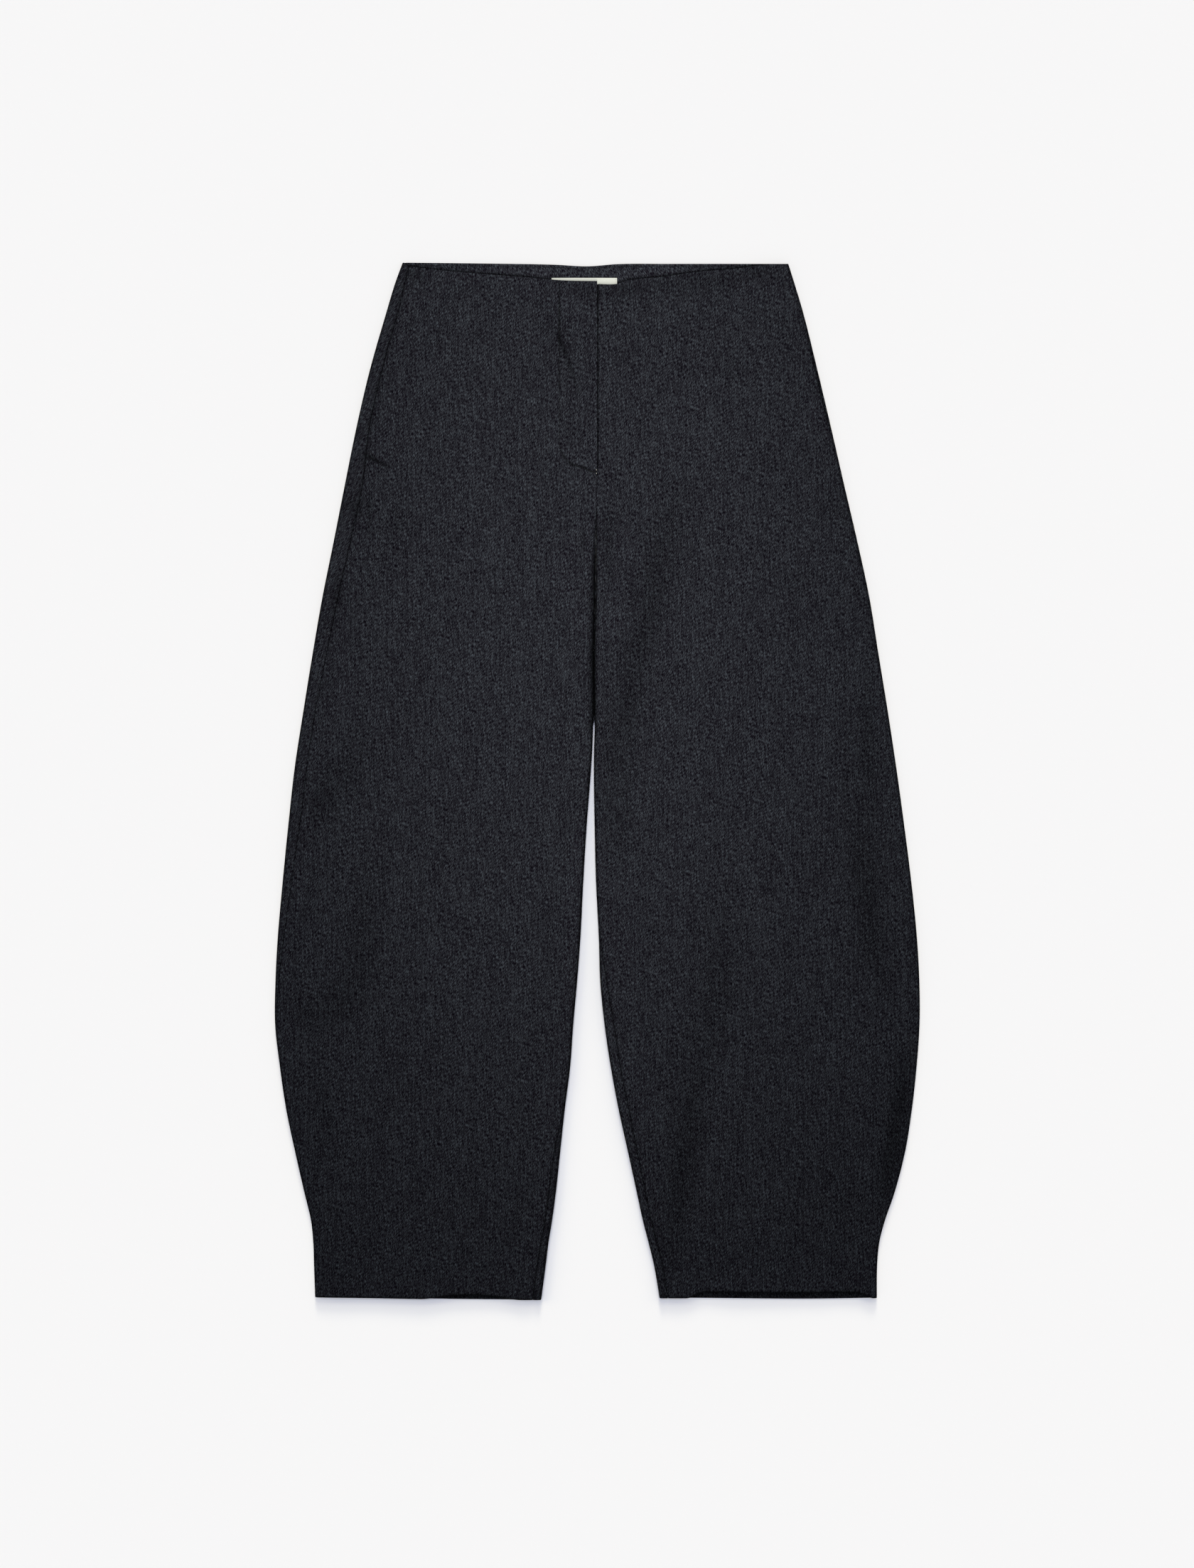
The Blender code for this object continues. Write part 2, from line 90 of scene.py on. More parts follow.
LEFT_HALF = (
    (490.0, 179.8, 0.45, -8.6, 2.6, 0.0),
    (470.0, 186.1, 0.45, -8.2, 2.6, 0.0),
    (443.0, 194.2, 0.45, -7.6, 2.6, 0.0),
    (389.0, 207.6, 0.45, -6.2, 2.6, 0.0),
    (335.0, 220.4, 0.45, -4.7, 2.6, 0.0),
    (282.0, 232.5, 0.0, -2.9, 2.6, 0.0),
    (224.0, 246.0, -0.8, -0.8, 2.6, 0.0),
    (174.0, 256.7, -1.4, -1.4, 2.6, 0.8),
    (120.0, 265.4, -2.5, -2.5, 2.6, 1.5),
    (66.0, 274.2, -2.0, -2.0, 2.6, 2.0),
    (13.0, 282.2, -2.7, -2.7, 2.6, 2.0),
    (-41.0, 289.6, -2.0, -2.0, 2.6, 2.0),
    (-95.0, 296.4, -0.7, -0.7, 2.6, 2.0),
    (-148.0, 301.7, 2.0, 2.0, 2.6, 3.0),
    (-189.0, 304.0, 3.4, 3.4, 2.6, 7.6),
    (-229.0, 304.2, 7.4, 7.4, 2.6, 10.2),
    (-270.0, 301.4, 13.4, 13.4, 2.6, 10.4),
    (-310.0, 297.0, 20.8, 20.8, 2.6, 10.8),
    (-350.0, 290.6, 29.6, 29.6, 2.6, 10.0),
    (-390.0, 280.2, 38.3, 38.3, 2.6, 9.4),
    (-415.0, 271.5, 43.7, 43.7, 2.6, 9.2),
    (-436.0, 266.1, 49.1, 49.1, 2.6, 9.2),
    (-458.0, 264.1, 54.4, 54.4, 2.6, 9.2),
    (-490.0, 263.8, 59.8, 59.8, 2.6, 9.2),
)

# How far an edge lies below the highest waist line, and above the lowest hem line, along X.
WAIST_DROP = {
    "front_right": (
        (-186.0, 2.5), (-152.0, 6.8), (-123.0, 9.6), (-68.0, 13.8), (-37.0, 16.9), (2.0, 17.9)),
    "front_left": (
        (0.0, 20.6), (18.0, 20.4), (27.0, 17.4), (39.0, 15.4), (61.0, 13.6), (94.0, 8.8), (129.0, 5.8),
        (158.0, 2.1), (181.0, 1.2)),
    "back": ((-186.0, 0.0), (-111.0, 0.8), (-40.0, 2.0), (-9.0, 3.5), (20.0, 1.4), (67.0, 1.2), (181.0, 1.2)),
}
FRONT_DROP = 0.4  # the fronts' waist edge sinks this much more, once it stands off the facing
HEM_LIFT = ((-267.0, 2.5), (-53.0, 0.0), (60.0, 1.6), (203.0, 0.8), (264.0, 1.7))
HEM_ARC_RIGHT = {"middle": -119.0, "half_width": 46.0, "rise": 4.5, "power": 1.5}
HEM_ARC_LEFT = {"x": (102.0, 244.0), "fade": 18.0, "rise": 6.0}
WAIST_FADE = 95.0  # an edge's drop or rise dies out this far into the panel
HEM_FADE = 90.0

# Folds and creases: a curve through a start, middle and end point, its half width and its rise, which is
# negative for a trough.
FOLD_COLUMNS = ("x0", "y0", "x1", "y1", "x2", "y2", "half_width", "rise")
FOLD_SAMPLES = 31  # points along a fold's curve
FOLD_END = {"share": 0.06, "power": 0.6}  # how a fold dies out at its ends
FOLDS = (
    (76, 268, 38, 110, 14, -60, 17, -1.8),
    (72, 100, 77, 10, 94, -75, 34, 3.0),
    (114, -105, 111, -212, 87, -286, 22, -1.5),
    (95, -285, 82, -360, 66, -461, 13, -1.5),
    (140, -300, 135, -380, 120, -470, 30, 1.2),
    (255, 56, 254, -58, 262, -192, 20, -1.0),
    (249, -45, 257, -120, 271, -200, 12, -0.8),
    (292, -259, 281, -340, 269, -400, 10, -1.6),
    (254, 112, 256, 50, 257, -5, 7, -0.5),
    (200, -350, 215, -400, 235, -450, 40, -1.0),
    (-228, 30, -248, 0, -265, -31, 20, -1.3),
    (-272, -24, -265, -24, -256, -26, 12, -0.7),
    (-218, -91, -235, -199, -296, -219, 18, -1.6),
    (34, 465, 98, 470, 161, 480, 11, -0.7),
    (138, 480, 150, 481, 162, 483, 6, -0.4),
    (-178, 481, -171, 477, -163, 473, 5, -0.3),
    (-150, -20, -160, -180, -150, -340, 46, 1.4),
    (13, 251, 8, 240, 3, 229, 9, -0.6),
    (118, 392, 128, 390, 139, 394, 13, -0.7),
    (214, 262, 222, 258, 230, 252, 12, -0.6),
    (180, 194, 188, 190, 197, 189, 14, -0.7),
    (-238, 264, -230, 259, -224, 253, 9, -0.8),
    (-243, 198, -246, 175, -249, 150, 4, -0.3),
    (-197, 248, -188, 245, -178, 244, 13, -0.6),
    (-41, 428, -29.5, 403, -17.5, 368, 1.9, -0.32),
    (-46, 434, -29, 408, -17, 368, 12, -0.5),
    (-219, 308, -209, 303, -196, 296, 2.3, -0.55),
    (-214, 272, -215, 254, -216, 232, 2.5, -0.25),
    (-262, -400, -252, -435, -247, -470, 25, -0.5),
    (-268, -270, -262, -310, -255, -350, 20, -0.6),
    (-24, 468, 2, 460, 28, 467, 9, -0.8),
    (22, 463, 31, 464, 44, 466, 6, -0.4),
    (-28, 289, -6, 274, 20, 287, 8, 0.5),
    (-27, 338, -24, 328, -22, 318, 8, -0.4),
    (-6, 242, -6.5, 222, -8, 190, 3, 0.6),
    (-13, 244, -13, 228, -13, 212, 4, -0.3),
    (13, 244, 12, 218, 10, 188, 6, -0.45),
)
RIPPLE_COLUMNS = ("wave_x", "wave_y", "phase", "height")
RIPPLES = (
    (171, 263, 0.4, 0.30),
    (-97, 187, 2.1, 0.20),
    (63, -139, 4.0, 0.12),
    (-41, 83, 1.2, 0.06),
    (29, 61, 5.3, 0.035),
)

# The cloth stands higher where the shield and zip lie under the fly.
FLY_PLATEAU = {"x": (-42.0, 11.0), "y": (287.0, 520.0), "fade": 14.0, "rise": 2.0}

FACING_DEPTH = 45.0
LABEL = {"x": (-43.0, 19.0), "y": (462.5, 475.4)}
POCKET_MOUTH = {"y": (336.0, 410.0), "fade": 12.0, "gape": 0.1}

# The two halves touch along the middle from just below the bar tack down, as the middle seam and then as the
# legs' insides. Above the tack the left front passes under the right one.
TOUCHING = {"y": (60.0, 284.0), "fade": 8.0, "overlap": 0.06}
LAP = {"reach": 2.9, "bottom": 292.0, "fade": 5.0, "drop": 1.6, "from": 2.1, "to": 0.5}

# The grid of a panel: places in from its edges, and the rows and columns between them. The rows lie closer
# where the fly's stitching curves and the pocket ends: ROW_SHARES of them are placed by each of ROW_HEIGHTS.
EDGE_STEPS = np.array((0.0, 0.08, 0.22, 0.5, 0.9, 1.4, 2.0, 2.6, 3.2, 3.8, 4.5, 5.4, 6.6))
STRIP_START = 6  # edge steps kept where a strip is then divided evenly
STRIP_COLUMNS = 24
ROWS_BETWEEN = 222
ROW_SHARES = (0.0, 0.14, 0.31, 1.0)
ROW_HEIGHTS = (WAIST_Y - EDGE_STEPS[-1], 326.0, 286.0, HEM_Y + EDGE_STEPS[-1])
FRONT_COLUMNS = 165
BACK_COLUMNS = 40
PLACING_ROUNDS = 3  # times that the rows are placed, because their drop depends on where they lie

# The lie of the cloth near its edges.
LEAST_EDGE = 0.1  # share of its thickness that a wall keeps at its very border
SEAM_DITCH = {"narrow": 1.1, "narrow_depth": 0.2, "wide": 6.0, "wide_depth": 0.35}
ALLOWANCE = {"end": 11.0, "fade": 3.0, "rise": 0.22}  # the seam allowances pressed open under the panels
SWELL = {"right": {"outer": 0.0, "inner": 0.5}, "left": {"outer": 0.6, "inner": 0.3}}  # beyond the solid
SWELL_STARTS = (30.0, 52.0)  # heights between which the swell of the inner edges sets in
SIDE_SEAM_CLEAR = {"y": (200.0, 600.0), "fade": 120.0, "low_share": 0.3}  # where the side seams' form and their painted shade show most
PUCKER = {"pitch": 13.0, "reach": 8.0, "height": 0.10, "drift": 41.0}
HEM_TURNING = {"depth": 38.0, "fade": 4.0, "rise": 0.22}
FLY_EDGE = {"reach": 9.0, "rise": 0.5}  # the lapping front over the other
WAIST_EDGE = {"reach": 14.0, "rise": 1.2}  # the front waist edge, standing off the facing

# Painted shading, from 0 on open cloth to 0.97 at the bottom of a crease: the share of its colour that
# the cloth loses there, as painted shade for the shade that gathers in folds, seams and creases and at
# rolled edges. Below 0 the cloth is painted paler, as painted light. Each has a depth, and a reach over
# which it dies out.
PAINTED_SHADING_RANGE = (-0.5, 0.97)
# Painted shade along the side and middle seams, darkest in the seam's ditch.
SEAM_SHADE = {"side": 0.25, "middle": 0.3, "reach": 1.4, "side_soft": 0.12, "soft_reach": 7.0}
LAP_SHADE = 0.65  # painted shade on the left front, where it passes under the right one
FOLD_SHADE = 3.0  # painted shade in a trough and painted light on a rise, for each millimetre that a fold falls over its own half width
# Painted shade on the back near the hem, inside the front's lifted hem, and on the front's hem edge.
HEM_SHADE = {"back": (0.45, 7.0), "front": (0.85, 1.6)}
STITCH_REACH = 1.2
STITCH_SHADE = (  # depth of the painted shade along the fly's stitching, by height
    (292.0, 0.85), (300.0, 0.8), (310.0, 0.5), (320.0, 0.05), (335.0, 0.05), (356.0, 0.2), (380.0, 0.25),
    (403.0, 0.22), (426.0, 0.5), (475.0, 0.5))
EDGE_SHADE = {  # painted shade at a leg's outline, at its inner edge, and in the cleft where the legs touch
    "right": {"outer": (0.8, 1.5), "inner": (0.97, 2.2), "cleft": (0.97, 4.2)},
    "left": {"outer": (0.8, 1.5), "inner": (0.85, 1.7), "cleft": (0.97, 2.1)},
}
CLEFT = {"y": (50.0, 237.0), "fade": 8.0, "narrow_y": (190.0, 236.0), "narrow_share": 0.5}  # the painted shade of the cleft where the legs touch; it narrows upwards
MIDDLE_SEAM_SOFT = {"y": (250.0, 268.0), "fade": 7.0, "share": 0.8}  # where the middle seam's painted shade is mostly taken away
SLIT = {"y": (342.0, 405.0), "fade": 6.0, "inset": 2.6, "reach": 0.9, "depth": 0.5}  # painted shade along the left pocket mouth

# The facing, the label and the sewing.
FACING_ROWS_BETWEEN = 30
FACING_COLUMNS = 120
FACING_SWELL = 0.25
FACING_CLOSE = 0.18  # each facing reaches this much further at the centre back, so that the two touch
# Painted shading on the facing: painted light all over, painted shadow beside the fronts' waist edge and the
# label, and painted shade along the understitching.
FACING_SHADE = {"all": -0.22, "front": (1.05, 2.0), "label": (0.5, 1.0), "stitch": 0.15}
UNDERSTITCH = {"inset": 2.4, "half_width": 0.9, "dimple": 0.3, "pitch": 3.0, "from": 0.04, "to": 0.98}
UNDERSTITCH_POINTS = 60
LABEL_COLUMNS = 60
LABEL_ROWS = 40
LABEL_THICKNESS = 0.5
LABEL_RISE = 0.5
LABEL_RIB = {"pitch": 0.9, "height": 0.02}
LABEL_STITCH = {"inset": 1.6, "pitch": 1.6}
FLY_STITCH_POINTS = {"down": 160, "curve": 24, "run": 8}
FLY_STITCH = {"x": -35.6, "top": 471.0, "turn_x": -14.0, "turn_y": 322.0, "low_y": 296.4,
              "end_x": -6.0, "end_y": 292.6, "pitch": 2.8}
TACK = {"x": (-6.0, -1.3), "y": 292.0, "length": 1.3, "pitch": 0.42}
TACK_END = {"x": -0.5, "y": (293.6, 290.4), "length": 0.9}
STITCH_SIDES = 6
STITCH_LOOK = 0.5  # how far behind and ahead of a stitch's middle its direction is read
THREAD = {"radius": 0.32, "share": 0.82, "dip": 0.3}
TACK_THREAD = {"radius": 0.34, "share": 0.95, "dip": 0.1}

TWILL = {
    "roughness": 0.92,
    "specular": 0.04,
    "turn": 20.0,  # degrees from the grain to the twill's diagonal
    "drift": 7.0,
    "bump": 0.5,
    "relief": 0.12,
    "stops": ((0.0, "#060309"), (0.25, "#151219"), (0.5, "#252429"), (0.75, "#36383c"), (1.0, "#4b5055")),
}
TWILL_RIBS = (  # whether turned to the diagonal, pitch, size of the cells in which it drifts, and weight
    (True, 1.55, (3.0, 7.0), 0.05),  # the diagonal
    (False, 4.4, (12.0, 40.0), 0.035),  # faint wales along the grain
)
TWILL_GRAINS = (  # whether turned, width and length of a grain, detail, offset of the pattern, and weight
    (True, (0.6, 2.6), 0.0, 0.0, 1.75),  # yarns on the diagonal
    (False, (1.9, 10.0), 0.0, 11.7, 0.45),  # streaks
    (False, (1.3, 4.0), 0.0, 23.1, 0.25),  # slubs
    (False, (0.4, 0.5), 0.0, 41.3, 0.95),  # pale and dark fibres
    (False, (14.0, 60.0), 1.0, 31.9, 0.14),  # uneven steaming
)
DRIFT_OFFSET = 5.3
RIBBED = {"share": 0.3, "low": 0.1, "high": 0.9, "bump": 0.5}  # the ribs' share, and the colours' stops
SPUN = {"roughness": 0.6, "specular": 0.2, "twist": 0.8, "low": 0.3, "high": 0.7}  # sewing thread

# The light, the floor and the camera, in metres and degrees. The light on the trousers comes from the world
# and the key, which lights nothing else. The floor's comes from the world and the suns. The first three suns
# draw the shadow below the hems, each from its own height. The last two, each shaded only by its own leg,
# draw the shadow between the legs.
WORLD_LIGHT = 0.285
SHADE_TINT = "#edf4ff"  # colour of the light that reaches the shadows
PALE = "#f6f6f6"
KEY = {"place": (0.0, 0.285, 0.5), "wide": 0.2, "long": 1.1, "power": 2.92}
FLOOR = {"half_side": 15.0, "drop": 0.0004}
SUNS = {  # strength, angle, tilt, turn and colour
    "high": (1.234, 36.0, 8.0, 0.0, "#d3dbff"),
    "middle": (0.82, 27.0, 53.5, 0.0, "#fff8dc"),
    "low": (1.62, 13.0, 72.5, 0.0, "#fff8dc"),
    "right": (1.05, 32.0, 64.5, 78.0, "#fff2c4"),
    "left": (0.4645, 32.0, 64.5, -60.0, "#fff2c4"),
}
CAMERA = {"height": 3.2, "y": -0.0027, "lens": 77.7, "sensor": 36.0}


def rise_between(value, start, end):
    """Smooth step: 0 up to start, 1 from end, and an S-curve between them."""
    t = np.clip((value - start) / (end - start), 0.0, 1.0)
    return t * t * (3.0 - 2.0 * t)


def fall_between(value, start, end):
    """Smooth step down: 1 up to start, 0 from end, and an S-curve between them."""
    return rise_between(-value, -end, -start)


def joined(x, y, z):
    """Three values as one array of points, each as wide as the widest of them."""
    return np.stack(np.broadcast_arrays(x, y, z), axis=-1)


def smooth_through(knots, values, at):
    """Cubic through the points (knots, values), whose slope at each is the mean of its two sides."""
    width = np.diff(knots)
    slope = np.diff(values) / width
    tangent = np.concatenate((slope[:1], (slope[1:] + slope[:-1]) / 2, slope[-1:]))
    at = np.clip(at, knots[0], knots[-1])
    i = np.clip(np.searchsorted(knots, at) - 1, 0, len(width) - 1)
    t = (at - knots[i]) / width[i]
    start = (1 + 2 * t) * (1 - t) ** 2 * values[i] + t * (1 - t) ** 2 * width[i] * tangent[i]
    end = t * t * (3 - 2 * t) * values[i + 1] - t * t * (1 - t) * width[i] * tangent[i + 1]
    return start + end


def from_table(table, at):
    """Smooth value at the places of a table of (place, value) rows."""
    rows = np.array(table)
    return smooth_through(rows[:, 0], rows[:, 1], at)


def column(table, name, y):
    """Smooth value of one column of a half's table at the heights y."""
    rows = np.array(table)[::-1]
    return smooth_through(rows[:, 0], rows[:, COLUMNS.index(name)], y)


def folds(x, y):
    """Sum of the folds: each is a bell-shaped rise or trough across its curve, and dies out at the ends.

    The second sum is how tightly the cloth is creased: a trough's depth over its half width.
    """
    height = np.zeros(np.broadcast(x, y).shape)
    tight = np.zeros_like(height)
    t = np.linspace(0.0, 1.0, FOLD_SAMPLES)
    start, middle, end = (1 - t) * (1 - 2 * t), 4 * t * (1 - t), t * (2 * t - 1)
    for row in FOLDS:
        fold = dict(zip(FOLD_COLUMNS, row))
        curve_x = start * fold["x0"] + middle * fold["x1"] + end * fold["x2"]
        curve_y = start * fold["y0"] + middle * fold["y1"] + end * fold["y2"]
        apart = (x[..., None] - curve_x) ** 2 + (y[..., None] - curve_y) ** 2
        share = FOLD_END["share"] + (1 - 2 * FOLD_END["share"]) * t[apart.argmin(axis=-1)]
        strength = np.sin(np.pi * share) ** FOLD_END["power"]
        bell = fold["rise"] * strength * np.exp(-apart.min(axis=-1) / fold["half_width"] ** 2)
        height += bell
        tight -= bell / fold["half_width"]
    return height, tight


def ripples(x, y):
    """Slow unevenness of slack cloth: a sum of sine waves, each in its own direction."""
    height = 0.0
    for row in RIPPLES:
        wave = dict(zip(RIPPLE_COLUMNS, row))
        turns = x / wave["wave_x"] + y / wave["wave_y"]
        height = height + wave["height"] * np.sin(2 * np.pi * turns + wave["phase"])
    return height


def between(value, limits, fade):
    """1 between two limits, fading to 0 outside them."""
    low, high = limits
    return rise_between(value, low - fade, low) * fall_between(value, high, high + fade)


def within(y, zone):
    """1 between a zone's two heights, fading to 0 outside them."""
    return between(y, zone["y"], zone["fade"])


def near(distance, reach):
    """1 at a line and dying out with the distance from it, like a bell."""
    return np.exp(-(distance / reach) ** 2)


def above_tack(y):
    """1 above the fly's bar tack and 0 below it."""
    return rise_between(y, LAP["bottom"], LAP["bottom"] + LAP["fade"])


def hem_turning(y):
    """Rise of the panel over its turned-up hem: a low step with a soft upper edge."""
    top = HEM_Y + HEM_TURNING["depth"]
    return HEM_TURNING["rise"] * fall_between(y, top, top + HEM_TURNING["fade"])


def base_height(x, y):
    """Height of the upper face without its folds: slack cloth, and the step up over the fly's layers."""
    over_fly = between(x, FLY_PLATEAU["x"], FLY_PLATEAU["fade"]) * within(y, FLY_PLATEAU)
    return LOFT + FLY_PLATEAU["rise"] * over_fly


def relief(x, y):
    """Rise of the upper face over its base height: folds, ripples and hem turning. And how it is creased."""
    height, tight = folds(x, y)
    return height + ripples(x, y) + hem_turning(y), tight


def rolled(along, height, roll):
    """Inset and height at a distance along a rolled edge, from its outermost point, positive on top.

    The edge is half an ellipse as high as the leg. A roll under 1 leaves only that much of each quarter,
    so at 0 the two layers end flat, one above the other. It also gives where the cloth is past the roll, the
    length of a quarter, and how far in the roll starts.
    """
    half = height / 2
    width = ROLL_SHAPE * half
    quarter = np.pi / 2 * np.sqrt((width ** 2 + half ** 2) / 2)
    angle = np.pi / 2 * np.clip(along / quarter, -1.0, 1.0)
    start = width * np.sin(np.pi / 2 * roll)
    inset = start - width * np.cos(angle) + np.maximum(abs(along) - quarter, 0.0)
    return inset, half * (1 + np.sin(angle)), along > quarter, quarter, start


class Half:
    """One half of the trousers: its tracks round the leg, in distance outwards and height."""

    def __init__(self, name, side, table):
        self.name, self.side, self.table = name, side, table

    def place(self, name, y):
        """Distance outwards of an edge, with the legs' touching and the left front's underlap."""
        place = column(self.table, name, y)
        if name == "outer":
            return place + SWELL[self.name]["outer"]
        swelling = fall_between(y, *SWELL_STARTS)
        place = place - SWELL[self.name]["inner"] * swelling
        space = column(RIGHT_HALF, name, y) + column(LEFT_HALF, name, y)
        place = place - (space / 2 + TOUCHING["overlap"]) * within(y, TOUCHING)
        if (self.name, name) == ("left", "front_in"):
            place = place - LAP["reach"] * above_tack(y)
        return place

    def edge(self, name, y, inward):
        """Distance outwards of an edge, and the height of the cloth just inside it."""
        place = self.place(name, y)
        return place, base_height(self.side * (place + inward * ROLL_IN), y)

    def outer_track(self, along, y):
        """Point at a distance along the cloth from the outer outline, over the top where positive."""
        outer, height = self.edge("outer", y, -1)
        inset, z, on_top, _, _ = rolled(along, height, 1.0)
        across = outer - inset
        return across, np.where(on_top, base_height(self.side * across, y), z)

    def inner_track(self, along, y, edge):
        """Point at a distance along the cloth from the inner edge, over the top where positive."""
        inner, height = self.edge(edge, y, 1)
        inset, z, on_top, _, _ = rolled(along, height, self.roll(y))
        across = inner + inset
        return across, np.where(on_top, base_height(self.side * across, y), z)

    def roll(self, y):
        """How far the inner edge rolls: 0 above the fork and 1 below it."""
        return fall_between(y, FORK_Y, FORK_TOP_Y)

    def quarter(self, y, name, inward):
        """Length of the quarter roll at the outline or at the inner edge."""
        return rolled(0.0, self.edge(name, y, inward)[1], 1.0)[3]

    def outer_spread(self, along, y):
        """Distance outwards once the outer roll is spread flat, so that the grain runs on through it."""
        outer, height = self.edge("outer", y, -1)
        _, _, _, quarter, start = rolled(0.0, height, 1.0)
        return outer - start + quarter - along

    def inner_spread(self, along, y, edge):
        """Distance outwards once the inner roll is spread flat."""
        inner, height = self.edge(edge, y, 1)
        _, _, _, quarter, start = rolled(0.0, height, self.roll(y))
        return inner + start - quarter + along

    def side_gap(self, y):
        """Half the space at the side seam, wider at the pocket mouth."""
        return (SEAM + POCKET_MOUTH["gape"] * within(y, POCKET_MOUTH)) / 2

    def seam_ends(self, y, layer):
        """Distances along the cloth at which a layer ends, at the side and at the inner edge."""
        sign = 1 if layer == "front" else -1
        roll = self.roll(y)
        quarter = self.quarter(y, layer + "_in", 1)
        below = column(self.table, "inseam_wrap", y) + sign * SEAM / 2
        inner = sign * (1 - roll) * quarter + roll * below
        return column(self.table, "side_wrap", y) + sign * self.side_gap(y), inner

    def wall(self, track, along, y, turn):
        """Middle of a wall on a track, and the step from it to the outer face, square to the track."""
        across, z = track(along, y)
        ahead_across, ahead_z = track(along + TRACK_STEP, y)
        behind_across, behind_z = track(along - TRACK_STEP, y)
        run, climb = ahead_across - behind_across, ahead_z - behind_z
        length = np.hypot(run, climb)
        step = joined(self.side * turn * climb / length, 0.0, -turn * run / length) * CLOTH / 2
        return joined(self.side * across, y, z) - step, step


def moved_rows(x, y, layer, half, on_strip):
    """Heights of the rows, once the waist edge drops and the hem lifts, dying out into the panel."""
    if layer == "front":
        drop = from_table(WAIST_DROP["front_" + half.name], x) + FRONT_DROP
        if half.name == "right":
            reach = np.clip(1 - ((x - HEM_ARC_RIGHT["middle"]) / HEM_ARC_RIGHT["half_width"]) ** 2, 0, 1)
            arc = HEM_ARC_RIGHT["rise"] * reach ** HEM_ARC_RIGHT["power"]
        else:
            arc = HEM_ARC_LEFT["rise"] * between(x, HEM_ARC_LEFT["x"], HEM_ARC_LEFT["fade"])
    else:
        strip_drop = from_table(WAIST_DROP["front_" + half.name], x) + FRONT_DROP
        drop = from_table(WAIST_DROP["back"], x) * (1 - on_strip) + strip_drop * on_strip
        arc = 0.0
    lift = from_table(HEM_LIFT, x) + arc
    waist = rise_between(y, WAIST_Y - WAIST_FADE, WAIST_Y)
    hem = fall_between(y, HEM_Y, HEM_Y + HEM_FADE)
    return y - drop * waist + lift * hem


def edge_thickness(distance):
    """Share of its thickness that a wall has near a border: a half circle in section."""
    radius = CLOTH / 2
    share = np.clip(distance / radius, 0.0, 1.0)
    return np.maximum(np.sqrt(1 - (1 - share) ** 2), LEAST_EDGE)


def seam_form(distance, y):
    """Rise beside a seam: a narrow and a wide ditch, the step over the allowances, and faint puckers."""
    ditch = SEAM_DITCH["narrow_depth"] * near(distance, SEAM_DITCH["narrow"])
    ditch = ditch + SEAM_DITCH["wide_depth"] * near(distance, SEAM_DITCH["wide"])
    end, fade = ALLOWANCE["end"], ALLOWANCE["fade"]
    step = ALLOWANCE["rise"] * fall_between(distance, end, end + fade)
    turns = y / PUCKER["pitch"] + np.sin(y / PUCKER["drift"])
    pucker = PUCKER["height"] * near(distance, PUCKER["reach"]) * np.sin(2 * np.pi * turns)
    return step + pucker - ditch


def fly_edge(distance, y):
    """Rise of the lapping front's edge over the other front, down to the fly's end."""
    return FLY_EDGE["rise"] * fall_between(distance, 0.0, FLY_EDGE["reach"]) * above_tack(y)


def underlap(x, y):
    """1 where the left front passes under the right front's edge, and 0 away from it."""
    return fall_between(x, LAP["to"], LAP["from"]) * above_tack(y)


def strip_steps(length):
    """Distances across a strip: the first edge steps, and then even ones to its far side."""
    first = EDGE_STEPS[:STRIP_START]
    shares = np.linspace(0.0, 1.0, STRIP_COLUMNS + 1)[1:]
    even = first[-1] + (length - first[-1]) * shares
    return np.concatenate((np.broadcast_to(first, length.shape[:1] + first.shape), even), axis=1)


